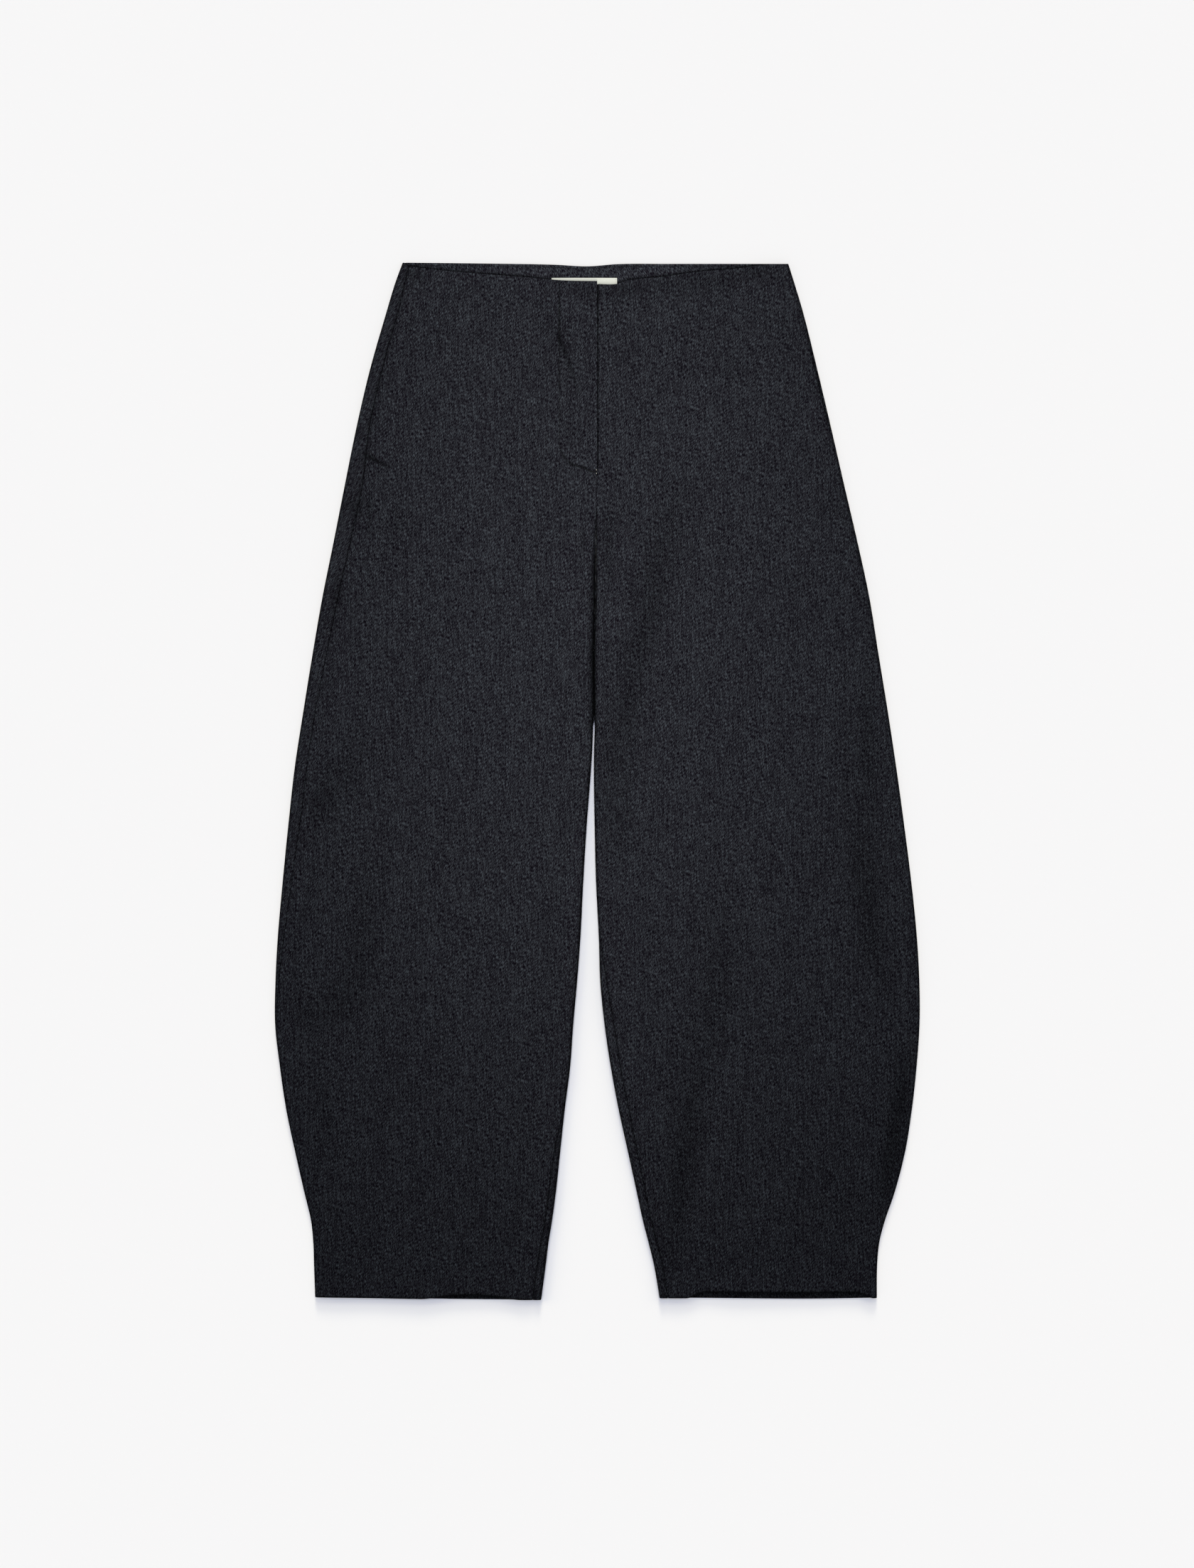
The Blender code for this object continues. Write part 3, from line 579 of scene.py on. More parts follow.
def panel(half, layer):
    """Middle, half thickness, grain and distances from the seams of one panel, as grids.

    The rows run from waist to hem. The columns run from the side seam to the inner edge: a strip that follows
    the outer roll, even columns, and a strip that follows the inner roll. The front's strips are narrow, and
    the back's are as wide as its roll round the leg.
    """
    between_rows = np.interp(np.linspace(0.0, 1.0, ROWS_BETWEEN + 2)[1:-1], ROW_SHARES, ROW_HEIGHTS)
    base = np.concatenate((WAIST_Y - EDGE_STEPS, between_rows, HEM_Y + EDGE_STEPS[::-1]))[:, None]
    even = np.linspace(0.0, 1.0, (FRONT_COLUMNS if layer == "front" else BACK_COLUMNS) + 2)[1:-1]
    strip = len(EDGE_STEPS) if layer == "front" else STRIP_START + STRIP_COLUMNS
    wide = 2 * strip + len(even)
    y = np.repeat(base, wide, axis=1)
    for _ in range(PLACING_ROUNDS):
        side_y, mid_y, inner_y = np.split(y, (strip, wide - strip), axis=1)
        side_end, _ = half.seam_ends(side_y, layer)
        _, inner_end = half.seam_ends(inner_y, layer)
        quarter = half.quarter(mid_y, "outer", -1)
        if layer == "front":
            side_steps = np.broadcast_to(EDGE_STEPS, side_y.shape)
            inner_steps = side_steps[:, ::-1]
            side_along, inner_along = side_end + side_steps, inner_end + inner_steps
        else:
            side_length = side_end[:, :1] + half.quarter(side_y[:, :1], "outer", -1)
            inner_length = inner_end[:, -1:] + half.quarter(inner_y[:, -1:], "back_in", 1)
            side_steps = strip_steps(side_length + EDGE_STEPS[2])
            inner_steps = strip_steps(np.maximum(inner_length, EDGE_STEPS[-1]))[:, ::-1]
            side_along, inner_along = side_end - side_steps, inner_end - inner_steps
        side = half.wall(half.outer_track, side_along, side_y, 1)
        inner = half.wall(lambda a, b: half.inner_track(a, b, layer + "_in"), inner_along, inner_y, -1)
        first = half.side * side[0][:, -1:, 0]
        last = half.side * inner[0][:, :1, 0]
        across = first + (last - first) * even
        roll_start, _ = half.outer_track(quarter, mid_y)
        mid_along = quarter + roll_start - across
        middle = half.wall(half.outer_track, mid_along if layer == "front" else -mid_along, mid_y, 1)
        centre = np.concatenate((side[0], middle[0], inner[0]), axis=1)
        step = np.concatenate((side[1], middle[1], inner[1]), axis=1)
        wrap = np.clip(side_along / side_end, 0.0, 1.0)
        on_strip = np.concatenate((wrap, np.zeros((len(base), wide - strip))), axis=1)
        y = moved_rows(centre[..., 0], base, layer, half, on_strip)
    far = first - last
    from_side = np.concatenate((side_steps, side_steps[:, -1:] + first - across, inner_steps + far), axis=1)
    from_inner = np.concatenate((side_steps + far, inner_steps[:, :1] + across - last, inner_steps), axis=1)
    sign = 1 if layer == "front" else -1
    side_spread = half.outer_spread(sign * side_along, side_y)
    inner_spread = half.inner_spread(sign * inner_along, inner_y, layer + "_in")
    grain = sign * half.side * np.concatenate((side_spread, across, inner_spread), axis=1)
    return centre, step, grain, from_side, from_inner, base


def edge_painted_shade(half, x, y):
    """Painted shade of a leg's rounded edges: at the outline, along the inside leg, and where the legs touch.
    """
    shade = EDGE_SHADE[half.name]
    inward = np.maximum(half.side * x - half.place("front_in", y), 0.0)
    outward = np.maximum(half.place("outer", y) - half.side * x, 0.0)
    narrow = rise_between(y, *CLEFT["narrow_y"])
    reach = shade["cleft"][1] * (1 - (1 - CLEFT["narrow_share"]) * narrow)
    cleft = shade["cleft"][0] * near(inward, reach) * within(y, CLEFT)
    inner = shade["inner"][0] * near(inward, shade["inner"][1]) * half.roll(y)
    outer = shade["outer"][0] * near(outward, shade["outer"][1])
    return np.maximum(np.maximum(cleft, inner), outer)


def from_path(x, y, path_x, path_y):
    """Distance of every point from the nearest point of a path."""
    return np.sqrt(np.min((x[..., None] - path_x) ** 2 + (y[..., None] - path_y) ** 2, axis=-1))


def seam_relief(half, layer, x, y, from_side, from_inner, base):
    """Rise of a panel beside its seams, edges and stitching, and the painted shade that they give it."""
    clear = SIDE_SEAM_CLEAR["low_share"] + (1 - SIDE_SEAM_CLEAR["low_share"]) * within(y, SIDE_SEAM_CLEAR)
    seams = seam_form(from_side, y) * clear
    painted_shading = SEAM_SHADE["side"] * near(from_side, SEAM_SHADE["reach"])
    painted_shading = (painted_shading + SEAM_SHADE["side_soft"] * near(from_side, SEAM_SHADE["soft_reach"])) * clear
    middle_seam_painted_shade = SEAM_SHADE["middle"] * near(from_inner, SEAM_SHADE["reach"])
    if layer == "back":
        return seams + seam_form(from_inner, y), painted_shading + middle_seam_painted_shade
    seams = seams + WAIST_EDGE["rise"] * near(WAIST_Y - base, WAIST_EDGE["reach"])
    if half.name == "right":
        stitched = near(from_path(x, y, *fly_stitch_path()), STITCH_REACH)
        seams = seams + fly_edge(from_inner, y) - THREAD["dip"] * stitched
        # painted shade along the fly's stitching
        painted_shading = painted_shading + from_table(STITCH_SHADE, y) * stitched
    else:
        from_slit = half.place("outer", y) - x - SLIT["inset"]
        seams = seams - LAP["drop"] * underlap(x, y)
        # painted shade where the left front passes under the right one
        painted_shading = painted_shading + LAP_SHADE * underlap(x, y)
        # painted shade along the left pocket mouth
        painted_shading = painted_shading + SLIT["depth"] * near(from_slit, SLIT["reach"]) * within(y, SLIT)
    below_fly = 1 - above_tack(y)
    shown = 1 - MIDDLE_SEAM_SOFT["share"] * within(y, MIDDLE_SEAM_SOFT)
    return seams + seam_form(from_inner, y) * below_fly, painted_shading + middle_seam_painted_shade * below_fly * shown


def shaped(half, layer):
    """A panel's two faces: its middle raised by the relief and the seams' form, and its borders rounded.

    The weave coordinates are the places across and along the grain, in millimetres. The third one is the
    painted shading, within PAINTED_SHADING_RANGE.
    """
    centre, step, grain, from_side, from_inner, base = panel(half, layer)
    x, y = centre[..., 0], centre[..., 1]
    above = base_height(x, y) - CLOTH
    share = np.clip((centre[..., 2] - CLOTH / 2) / above, 0.0, 1.0)
    seams, painted_shading = seam_relief(half, layer, x, y, from_side, from_inner, base)
    rise, tight = relief(x, y)
    # painted shade in the folds' troughs and at the seams, and painted light on the folds' rises, fading out
    # down the rolled edges
    painted_shading = (painted_shading + FOLD_SHADE * tight) * share
    painted_shading = np.maximum(painted_shading, edge_painted_shade(half, x, y))
    # painted shade at the hems
    hem_depth, hem_reach = HEM_SHADE[layer]
    painted_shading = np.maximum(painted_shading, hem_depth * near(base - HEM_Y, hem_reach))
    painted_shading = np.clip(painted_shading, *PAINTED_SHADING_RANGE)
    centre = centre + share[..., None] * seams[..., None] * step / (CLOTH / 2)
    centre[..., 2] += share * rise
    from_row = np.minimum(WAIST_Y - base, base - HEM_Y)
    thickness = edge_thickness(np.minimum(np.minimum(from_side, from_inner), from_row))
    step = step * thickness[..., None]
    return centre + step, centre - step, joined(grain, y, painted_shading)


def wall_mesh(name, outer, inner, weave):
    """Closed shell between two grids of points, with its weave coordinates in millimetres and its painted
    shading, on each point.
    """
    rows, columns = outer.shape[:2]
    far = rows * columns
    index = np.arange(far).reshape(rows, columns)
    corners = np.stack((index[:-1, :-1], index[1:, :-1], index[1:, 1:], index[:-1, 1:]), axis=-1)
    corners = corners.reshape(-1, 4)
    border = np.concatenate((index[0, :-1], index[:-1, -1], index[-1, :0:-1], index[:0:-1, 0]))
    following = np.roll(border, -1)
    band = np.stack((border, following, following + far, border + far), axis=-1)
    faces = np.concatenate((corners, corners[:, ::-1] + far, band))
    row, place = rows // 2, columns // 2
    down, along = outer[row + 1, place] - outer[row, place], outer[row, place + 1] - outer[row, place]
    if np.dot(np.cross(down, along), outer[row, place] - inner[row, place]) < 0:
        faces = faces[:, ::-1]
    points = np.concatenate((outer.reshape(-1, 3), inner.reshape(-1, 3))) * MM
    mesh = bpy.data.meshes.new(name)
    mesh.from_pydata(points.tolist(), [], faces.tolist())
    mesh.shade_smooth()
    both = np.concatenate((weave.reshape(-1, 3), weave.reshape(-1, 3)))
    mesh.attributes.new("weave", "FLOAT_VECTOR", "POINT").data.foreach_set("vector", both.ravel())
    return mesh


def add_piece(name, mesh, material, replaces=()):
    """Put a finished mesh in the scene, with its material, riding on the trousers' one body."""
    piece = bpy.data.objects.new(name, mesh)
    mesh.materials.append(material)
    bpy.context.scene.collection.objects.link(piece)
    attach(piece, "root")
    if replaces:
        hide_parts(*replaces)
    return piece


def edge_and_even(start, end, count):
    """Places from start to end: the edge steps in from both, and even ones between, along the last axis."""
    sign = np.sign(np.mean(end - start))
    first, last = start + sign * EDGE_STEPS, end - sign * EDGE_STEPS[::-1]
    shares = np.linspace(0.0, 1.0, count + 2)[1:-1]
    even = first[..., -1:] + (last[..., :1] - first[..., -1:]) * shares
    return np.concatenate((first, even, last), axis=-1)


def facing_swell(depth):
    """Rise of the facing across its depth: half a sine."""
    return FACING_SWELL * np.sin(np.pi * np.clip(depth / FACING_DEPTH, 0, 1))


def facing(half):
    """Facing along the back waist: a level strip that follows the waist edge, a little higher in the middle.

    It has a dimple at its understitching. Its painted shading makes it paler than the fronts, as painted
    light, with painted shadow above the fronts' edge and around the label, and painted shade along the
    stitching.
    """
    depth = edge_and_even(np.zeros(1), np.array([FACING_DEPTH]), FACING_ROWS_BETWEEN)[:, None]
    y = WAIST_Y - depth
    for _ in range(PLACING_ROUNDS):
        outline, _ = half.outer_track(-half.quarter(y[:, :1], "outer", -1), y[:, :1])
        centre_back = column(half.table, "back_in", y[:, -1:]) - FACING_CLOSE
        across = edge_and_even(outline, centre_back, FACING_COLUMNS)
        y = moved_rows(half.side * across, WAIST_Y, "back", half, 0.0) - depth
    x = half.side * across
    from_ends = np.minimum(outline - across, across - across[:, -1:])
    from_edge = np.minimum(from_ends, np.minimum(depth, FACING_DEPTH - depth))
    stitched = near(depth - UNDERSTITCH["inset"], UNDERSTITCH["half_width"])
    middle = CLOTH * 1.5 + SEAM + facing_swell(depth) - UNDERSTITCH["dimple"] * stitched
    centre = joined(x, y, middle)
    step = joined(0.0, 0.0, CLOTH / 2 * edge_thickness(from_edge))
    front_edge = WAIST_Y - from_table(WAIST_DROP["front_" + half.name], x) - FRONT_DROP
    front_depth, front_reach = FACING_SHADE["front"]
    # painted light all over the facing, and painted shadow next to the fronts' waist edge
    painted_shading = FACING_SHADE["all"] + front_depth * near(np.maximum(y - front_edge, 0.0), front_reach)
    painted_shading = painted_shading + FACING_SHADE["stitch"] * stitched
    above_label = np.maximum(y - LABEL["y"][1], 0.0)
    beside_label = np.maximum(np.maximum(LABEL["x"][0] - x, x - LABEL["x"][1]), 0.0)
    label_depth, label_reach = FACING_SHADE["label"]
    painted_shading = painted_shading + label_depth * near(np.hypot(above_label, beside_label), label_reach)
    return centre + step, centre - step, joined(-x, y, np.clip(painted_shading, *PAINTED_SHADING_RANGE))


def label_rise(x):
    """Rise of the label over its two sewn ends: the root of half a sine."""
    x0, x1 = LABEL["x"]
    return LABEL_RISE * np.sin(np.pi * (x - x0) / (x1 - x0)) ** 0.5


def label():
    """Label: a thin level ribbon with woven ribs, higher in the middle than at its two ends."""
    x0, x1 = LABEL["x"]
    y0, y1 = LABEL["y"]
    x = edge_and_even(np.array([x0]), np.array([x1]), LABEL_COLUMNS)[None, :]
    y = edge_and_even(np.array([y1]), np.array([y0]), LABEL_ROWS)[:, None]
    rib = LABEL_RIB["height"] * np.sin(2 * np.pi * y / LABEL_RIB["pitch"])
    from_edge = np.minimum(np.minimum(x - x0, x1 - x), np.minimum(y - y0, y1 - y))
    bottom = 2 * (CLOTH + SEAM)
    centre = joined(x, y, bottom + LABEL_THICKNESS / 2 + label_rise(x) + rib)
    step = joined(0.0, 0.0, LABEL_THICKNESS / 2 * edge_thickness(from_edge))
    return centre + step, centre - step, joined(x, y, 0.0)


def top_point(x, y):
    """Point of the fronts' upper face at a place, in from the seams."""
    return joined(x, y, base_height(x, y) + relief(x, y)[0])


def fly_stitch_path():
    """The fly's curved stitching: a straight run down, a quarter of an ellipse, and a run to the tack."""
    x, turn_x, end_x = FLY_STITCH["x"], FLY_STITCH["turn_x"], FLY_STITCH["end_x"]
    turn_y, low_y, end_y = FLY_STITCH["turn_y"], FLY_STITCH["low_y"], FLY_STITCH["end_y"]
    down = np.linspace(FLY_STITCH["top"], turn_y, FLY_STITCH_POINTS["down"])
    angle = np.linspace(0.0, np.pi / 2, FLY_STITCH_POINTS["curve"])[1:]
    run = np.linspace(0.0, 1.0, FLY_STITCH_POINTS["run"])[1:]
    curve_x, curve_y = turn_x - (turn_x - x) * np.cos(angle), turn_y - (turn_y - low_y) * np.sin(angle)
    run_x, run_y = turn_x + (end_x - turn_x) * run, low_y + (end_y - low_y) * run
    return np.concatenate((np.full_like(down, x), curve_x, run_x)), np.concatenate((down, curve_y, run_y))


def upright_rows(x, y, length):
    """Rows of one stitch each, along Y on the lapping front's edge."""
    ends = np.array((length, -length)) / 2
    on_edge = np.array((0.0, 0.0, FLY_EDGE["rise"]))
    places = zip(*np.broadcast_arrays(x, y))
    return [(top_point(at_x, at_y + ends) + on_edge, length) for at_x, at_y in places]


def understitch_rows(half):
    """The understitching's one row, along the waist edge at its inset, in the facing's dimple."""
    outline, inner = column(half.table, "outer", WAIST_Y), column(half.table, "back_in", WAIST_Y)
    shares = np.linspace(UNDERSTITCH["from"], UNDERSTITCH["to"], UNDERSTITCH_POINTS)
    x = half.side * (outline + (inner - outline) * shares)
    y = moved_rows(x, WAIST_Y, "back", half, 0.0) - UNDERSTITCH["inset"]
    top = 2 * CLOTH + SEAM + facing_swell(UNDERSTITCH["inset"]) - UNDERSTITCH["dimple"]
    return [(joined(x, y, top), UNDERSTITCH["pitch"])]


def label_stitch_rows():
    """A straight row of stitches down each end of the label."""
    rows = []
    (x0, x1), (y0, y1) = LABEL["x"], LABEL["y"]
    y = np.array((y1, y0)) + np.array((-0.5, 0.5)) * LABEL_STITCH["pitch"]
    for x in (x0 + LABEL_STITCH["inset"], x1 - LABEL_STITCH["inset"]):
        top = 2 * (CLOTH + SEAM) + LABEL_THICKNESS + label_rise(x)
        rows.append((joined(x, y, top), LABEL_STITCH["pitch"]))
    return rows


def stitches(name, rows, thread):
    """Sewing thread: each stitch is a thin six-sided bar whose ends narrow and dip into the cloth.

    A row is the points of its path and its pitch. The stitches stand at equal distances along the path, and
    point along it.
    """
    along = np.array((-1.0, -0.8, -0.35, 0.35, 0.8, 1.0))  # rings along half a stitch's length
    fullness = np.array((0.35, 0.85, 1.0, 1.0, 0.85, 0.35))  # radius of each ring
    angle = np.linspace(0.0, 2 * np.pi, STITCH_SIDES + 1)[:-1]
    points = []
    for path, pitch in rows:
        steps = np.linalg.norm(np.diff(path, axis=0), axis=1)
        length = np.concatenate(([0.0], np.cumsum(steps)))
        place = np.arange(pitch / 2, length[-1], pitch)
        behind, ahead = [
            np.stack([np.interp(place + away, length, path[:, axis]) for axis in range(3)], axis=-1)
            for away in (-STITCH_LOOK, STITCH_LOOK)]
        centre, direction = (behind + ahead) / 2, ahead - behind
        direction = direction / np.linalg.norm(direction, axis=1, keepdims=True)
        beside = np.cross(direction, (0.0, 0.0, 1.0))
        beside = beside / np.linalg.norm(beside, axis=1, keepdims=True)
        up = np.cross(beside, direction)
        shaft = direction[:, None, :] * along[:, None] * pitch * thread["share"] / 2
        shaft = centre[:, None, :] + shaft - up[:, None, :] * thread["dip"] * (np.abs(along) ** 3)[:, None]
        round_x = beside[:, None, None, :] * np.cos(angle)[:, None] * fullness[:, None, None]
        round_z = up[:, None, None, :] * np.sin(angle)[:, None] * fullness[:, None, None]
        points.append((shaft[:, :, None, :] + (round_x + round_z) * thread["radius"]).reshape(-1, 3))
    points = np.concatenate(points) * MM
    ring = np.arange(STITCH_SIDES)
    following = (ring + 1) % STITCH_SIDES
    rings = np.arange(len(along) - 1)[:, None] * STITCH_SIDES
    side = np.stack((rings + ring, rings + following), axis=-1)
    side = np.concatenate((side, side[..., ::-1] + STITCH_SIDES), axis=-1)
    each = len(along) * STITCH_SIDES
    starts = np.arange(0, len(points), each)[:, None, None]
    sides = (side.reshape(1, -1, 4) + starts).reshape(-1, 4)
    caps = np.stack((ring[::-1], ring + each - STITCH_SIDES))[None] + starts
    mesh = bpy.data.meshes.new(name)
    mesh.from_pydata(points.tolist(), [], sides.tolist() + caps.reshape(-1, STITCH_SIDES).tolist())
    mesh.shade_smooth()
    return mesh


def srgb(code):
    """Linear colour of an sRGB hex value."""
    parts = np.array([int(code[i:i + 2], 16) / 255 for i in (1, 3, 5)])
    linear = np.where(parts <= 0.04045, parts / 12.92, ((parts + 0.055) / 1.055) ** 2.4)
    return (*linear.tolist(), 1.0)


def add_node(tree, kind, inputs=(), **settings):
    """Add a node with its own settings; inputs gives sockets a value, or another node's output to link."""
    node = tree.nodes.new(kind)
    for name, value in settings.items():
        setattr(node, name, value)
    for name, value in dict(inputs).items():
        if isinstance(value, bpy.types.NodeSocket):
            tree.links.new(value, node.inputs[name])
        else:
            node.inputs[name].default_value = value
    return node


def new_material(name, roughness, specular):
    """Material with a Principled shader, and its tree and shader."""
    material = bpy.data.materials.new(name)
    material.use_nodes = True
    shader = material.node_tree.nodes["Principled BSDF"]
    shader.inputs["Roughness"].default_value = roughness
    shader.inputs["Specular IOR Level"].default_value = specular
    return material, material.node_tree, shader


def blended(tree, factor, stops):
    """Colour ramp over (place, sRGB hex) stops."""
    ramp = add_node(tree, "ShaderNodeValToRGB", {"Fac": factor})
    elements = ramp.color_ramp.elements
    while len(elements) < len(stops):
        elements.new(0.5)
    for element, (place, code) in zip(elements, stops):
        element.position = place
        element.color = srgb(code)
    return ramp.outputs["Color"]


def melange_twill(name):
    """Wool-look polyester and viscose suiting twill, woven from melange yarn and steamed.

    It gives the eye a matt, near-black charcoal with cool grey flecks, fine streaks and faint wales along the
    grain, and a steep diagonal. The diagonal's pitch is 1.55 mm square to it and the wales' 4.4 mm, as the
    photograph shows them, which is coarser than the yarn's own 0.5 mm. The painted shading in the third weave
    coordinate darkens the cloth as painted shade, and pales it below 0 as painted light.
    The weave coordinates are in millimetres, and so is every pattern's size.
    """
    material, tree, shader = new_material(name, TWILL["roughness"], TWILL["specular"])
    weave = add_node(tree, "ShaderNodeAttribute", attribute_name="weave").outputs["Vector"]
    level = add_node(tree, "ShaderNodeVectorMath", {0: weave, 1: (1.0, 1.0, 0.0)}, operation="MULTIPLY")
    level = level.outputs["Vector"]
    rotation = (0.0, 0.0, np.radians(TWILL["turn"]))
    turned = add_node(tree, "ShaderNodeMapping", {"Vector": level, "Rotation": rotation}).outputs["Vector"]

    def noise(vector, cell, detail, offset):
        """Noise whose grains are as wide and long as the cell."""
        sized = add_node(tree, "ShaderNodeMapping", {
            "Vector": vector, "Scale": (1 / cell[0], 1 / cell[1], 1.0), "Location": (offset, offset, offset)})
        grain = add_node(tree, "ShaderNodeTexNoise", {
            "Vector": sized.outputs["Vector"], "Scale": 1.0, "Detail": detail, "Roughness": 0.5})
        return grain.outputs["Fac"]

    def add(total, value, share):
        """total plus share times value."""
        summed = add_node(tree, "ShaderNodeMath", {0: value, 1: share, 2: total}, operation="MULTIPLY_ADD")
        return summed.outputs[0]

    def ribs(vector, pitch, cell):
        """Wave across x, which drifts in and out of step."""
        across = add_node(tree, "ShaderNodeSeparateXYZ", {"Vector": vector}).outputs["X"]
        drift = add(0.0, noise(vector, cell, 0.0, DRIFT_OFFSET), TWILL["drift"])
        phase = add(drift, across, 2 * np.pi / pitch)
        return add_node(tree, "ShaderNodeMath", {0: phase}, operation="SINE").outputs[0]

    total = 0.5 * (1 - sum(weight for *_, weight in TWILL_GRAINS))
    for is_turned, pitch, cell, weight in TWILL_RIBS:
        total = add(total, ribs(turned if is_turned else level, pitch, cell), weight)
    for is_turned, cell, detail, offset, weight in TWILL_GRAINS:
        total = add(total, noise(turned if is_turned else level, cell, detail, offset), weight)
    # Painted shading: the colour is scaled by one minus the third weave coordinate, darker as painted shade
    # above 0 and paler as painted light below 0.
    painted_shading = add_node(tree, "ShaderNodeSeparateXYZ", {"Vector": weave}).outputs["Z"]
    kept = add_node(tree, "ShaderNodeMath", {0: painted_shading, 1: -1.0, 2: 1.0}, operation="MULTIPLY_ADD")
    shaded = add_node(tree, "ShaderNodeVectorMath", {
        0: blended(tree, total, TWILL["stops"]), "Scale": kept.outputs[0]}, operation="SCALE")
    tree.links.new(shaded.outputs["Vector"], shader.inputs["Base Color"])
    bump = add_node(tree, "ShaderNodeBump", {
        "Height": total, "Strength": TWILL["bump"], "Distance": TWILL["relief"] * MM})
    tree.links.new(bump.outputs["Normal"], shader.inputs["Normal"])
    return material


def ribbed(name, code_low, code_high, pitch, direction, roughness, specular, relief_height):
    """Woven ribbon, tape or plain cloth: ribs of one pitch in millimetres, and a grain as fine as they are.

    The ribs run across a direction of the Object coordinates, and stand up by the relief's height.
    """
    material, tree, shader = new_material(name, roughness, specular)
    place = add_node(tree, "ShaderNodeTexCoord").outputs["Object"]
    parted = add_node(tree, "ShaderNodeSeparateXYZ", {"Vector": place}).outputs[direction]
    turns = add_node(tree, "ShaderNodeMath", {0: parted, 1: 2 * np.pi / (pitch * MM)}, operation="MULTIPLY")
    ribs = add_node(tree, "ShaderNodeMath", {0: turns.outputs[0]}, operation="SINE")
    grain = add_node(tree, "ShaderNodeTexNoise", {"Vector": place, "Scale": 1 / (pitch * MM), "Detail": 2.0})
    mixed = add_node(tree, "ShaderNodeMath", {
        0: ribs.outputs[0], 1: RIBBED["share"], 2: grain.outputs["Fac"]}, operation="MULTIPLY_ADD")
    stops = ((RIBBED["low"], code_low), (RIBBED["high"], code_high))
    tree.links.new(blended(tree, mixed.outputs[0], stops), shader.inputs["Base Color"])
    bump = add_node(tree, "ShaderNodeBump", {
        "Height": mixed.outputs[0], "Strength": RIBBED["bump"], "Distance": relief_height * MM})
    tree.links.new(bump.outputs["Normal"], shader.inputs["Normal"])
    return material


def sewing_thread(name, code_low, code_high):
    """Spun polyester sewing thread, twisted: a soft sheen, and a slight change of shade along it."""
    material, tree, shader = new_material(name, SPUN["roughness"], SPUN["specular"])
    place = add_node(tree, "ShaderNodeTexCoord").outputs["Object"]
    scale = 1 / (SPUN["twist"] * MM)
    shade = add_node(tree, "ShaderNodeTexNoise", {"Vector": place, "Scale": scale, "Detail": 1.0})
    stops = ((SPUN["low"], code_low), (SPUN["high"], code_high))
    tree.links.new(blended(tree, shade.outputs["Fac"], stops), shader.inputs["Base Color"])
    return material


def sun_light(name, strength, angle, tilt, turn, code):
    """Sun with a wide disc, tilted from overhead towards the waist end and turned about the upright."""
    data = bpy.data.lights.new(name, "SUN")
    data.energy = strength
    data.color = srgb(code)[:3]
    data.angle = np.radians(angle)
    lamp = bpy.data.objects.new(name, data)
    lamp.rotation_euler = (np.radians(-tilt), 0.0, np.radians(turn))
    bpy.context.scene.collection.objects.link(lamp)
    return lamp


def group(name, members):
    """Collection that only tells a lamp what it lights."""
    collection = bpy.data.collections.new(name)
    for member in members:
        collection.objects.link(member)
    return collection


# The finishes. Each woven one has the ribs' pitch, their direction and their height.
twill = melange_twill("melange_suiting_twill")
# Polyester satin ribbon, woven and pressed: cream with a soft sheen and fine level ribs.
ribbon = ribbed("satin_woven_ribbon", "#e4e4d3", "#f7f7e9", 0.7, "Y", 0.5, 0.35, 0.04)
# Polyester tape, woven in herringbone: dull black with upright ribs.
tape = ribbed("herringbone_zip_tape", "#101012", "#1c1c20", 1.2, "X", 0.8, 0.3, 0.1)
# Polyester and cotton pocketing, plain woven: matt dark grey with fine upright threads.
bag_cloth = ribbed("plain_weave_pocketing", "#1b1c1f", "#2a2b2f", 0.9, "X", 0.9, 0.2, 0.08)
dark_thread = sewing_thread("spun_polyester_thread_charcoal", "#070709", "#111214")
fly_thread = sewing_thread("spun_polyester_thread_graphite", "#121214", "#1c1d20")
pale_thread = sewing_thread("spun_polyester_thread_cream", "#cfc8b4", "#ebe6d6")
for name, material in {"fly_zip": tape, "fly_shield": bag_cloth, "pocket_right": bag_cloth,
                       "pocket_left": bag_cloth}.items():
    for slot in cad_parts[name].material_slots:
        slot.material = material

# The cut pieces, each in place of its solid.
pieces = {}
halves = (Half("right", -1, RIGHT_HALF), Half("left", 1, LEFT_HALF))
for half in halves:
    for layer in ("front", "back"):
        name = layer + "_" + half.name
        mesh = wall_mesh(name, *shaped(half, layer))
        pieces[name] = add_piece(name + "_panel", mesh, twill, (name,))
    name = "back_facing_" + half.name
    pieces[name] = add_piece(name + "_strip", wall_mesh(name, *facing(half)), twill, (name,))
pieces["label"] = add_piece("blank_label", wall_mesh("label", *label()), ribbon, ("label",))

# The sewing on each piece.
fly_rows = [(top_point(*fly_stitch_path()), FLY_STITCH["pitch"])]
tack_rows = upright_rows(np.arange(*TACK["x"], TACK["pitch"]), TACK["y"], TACK["length"])
end_rows = upright_rows(TACK_END["x"], TACK_END["y"], TACK_END["length"])
sewing = {
    "front_right": (
        ("fly_stitches", fly_rows, THREAD, fly_thread, "twill"),
        ("fly_bar_tack", tack_rows, TACK_THREAD, dark_thread, "twill"),
        ("tack_thread_ends", end_rows, TACK_THREAD, pale_thread, "label_weave")),
    "back_facing_right": (
        ("understitching_right", understitch_rows(halves[0]), THREAD, dark_thread, "twill"),),
    "back_facing_left": (
        ("understitching_left", understitch_rows(halves[1]), THREAD, dark_thread, "twill"),),
    "label": (("label_stitches", label_stitch_rows(), THREAD, pale_thread, "label_weave"),),
}
sewn_on = {}
for piece, seams in sewing.items():
    sewn_on[piece] = [
        add_piece(name, stitches(name, rows, form), thread) for name, rows, form, thread, slot in seams]

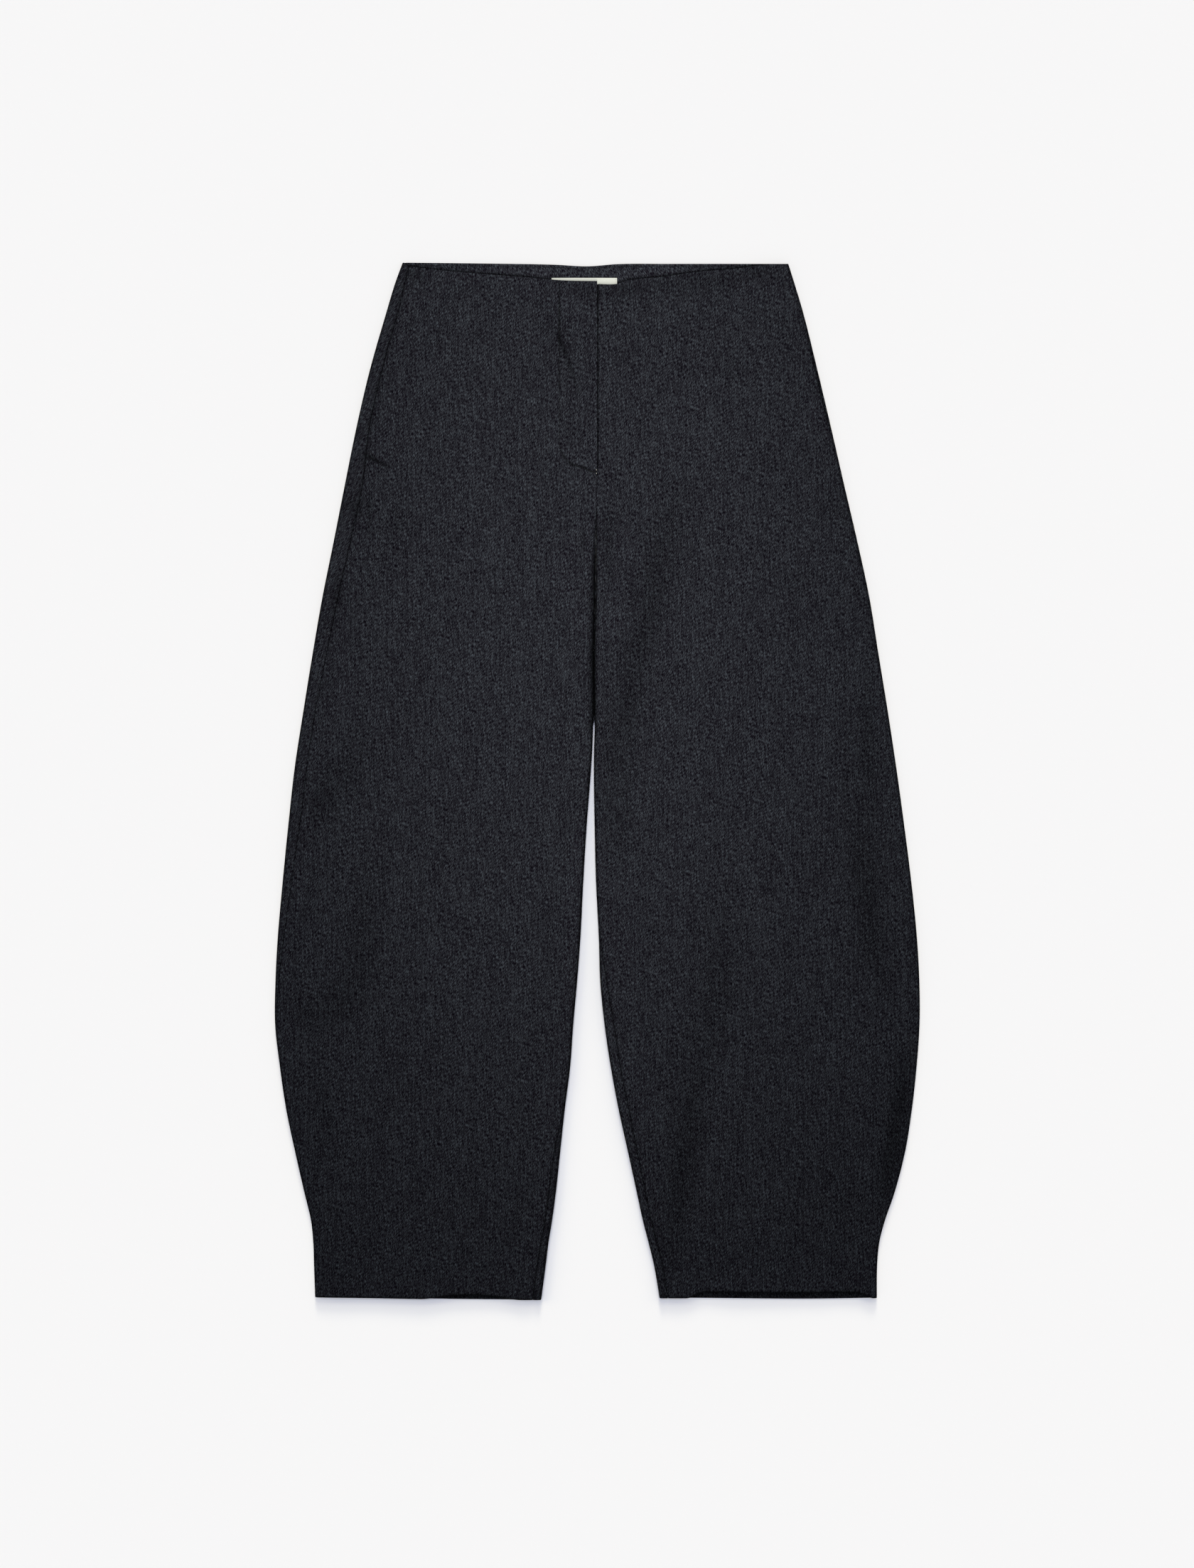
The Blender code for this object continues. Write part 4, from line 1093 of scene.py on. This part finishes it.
# The floor, the light and the camera. The floor is painted board, rolled matt: an even pale grey, no gloss.
corners = np.array(((-1, -1), (1, -1), (1, 1), (-1, 1))) * FLOOR["half_side"]
floor_mesh = bpy.data.meshes.new("floor")
floor_mesh.from_pydata([(*corner, -FLOOR["drop"]) for corner in corners.tolist()], [], [(0, 1, 2, 3)])
floor_material, _, floor_shader = new_material("matt_painted_board", 1.0, 0.0)
floor_shader.inputs["Base Color"].default_value = srgb(PALE)
floor_mesh.materials.append(floor_material)
floor = bpy.data.objects.new("floor", floor_mesh)
bpy.context.scene.collection.objects.link(floor)

world = bpy.data.worlds.new("soft_studio")
world.use_nodes = True
tree = world.node_tree
rays = add_node(tree, "ShaderNodeLightPath").outputs["Is Camera Ray"]
light = add_node(tree, "ShaderNodeMapRange", {"Value": rays, "To Min": WORLD_LIGHT, "To Max": srgb(PALE)[0]})
tint = blended(tree, rays, ((0.0, SHADE_TINT), (1.0, "#ffffff")))
tree.links.new(tint, tree.nodes["Background"].inputs["Color"])
tree.links.new(light.outputs["Result"], tree.nodes["Background"].inputs["Strength"])
bpy.context.scene.world = world

key_data = bpy.data.lights.new("key", "AREA")
key_data.shape = "RECTANGLE"
key_data.size = KEY["wide"]
key_data.size_y = KEY["long"]
key_data.energy = KEY["power"]
key = bpy.data.objects.new("key", key_data)
key.location = KEY["place"]
key.visible_camera = False
bpy.context.scene.collection.objects.link(key)
key.light_linking.receiver_collection = group("lit_by_key", [*pieces.values(), *sum(sewn_on.values(), [])])
floor_only = group("lit_by_suns", [floor])
for name, settings in SUNS.items():
    sun = sun_light(name + "_sun", *settings)
    sun.light_linking.receiver_collection = floor_only
    if name in ("right", "left"):
        leg = [pieces["front_" + name], pieces["back_" + name]]
        sun.light_linking.blocker_collection = group(name + "_leg", leg)

camera_data = bpy.data.cameras.new("camera")
camera_data.lens = CAMERA["lens"]
camera_data.sensor_width = CAMERA["sensor"]
camera = bpy.data.objects.new("camera", camera_data)
camera.location = (0.0, CAMERA["y"], CAMERA["height"])
bpy.context.scene.collection.objects.link(camera)
bpy.context.scene.camera = camera
bpy.context.scene.view_settings.view_transform = "Standard"
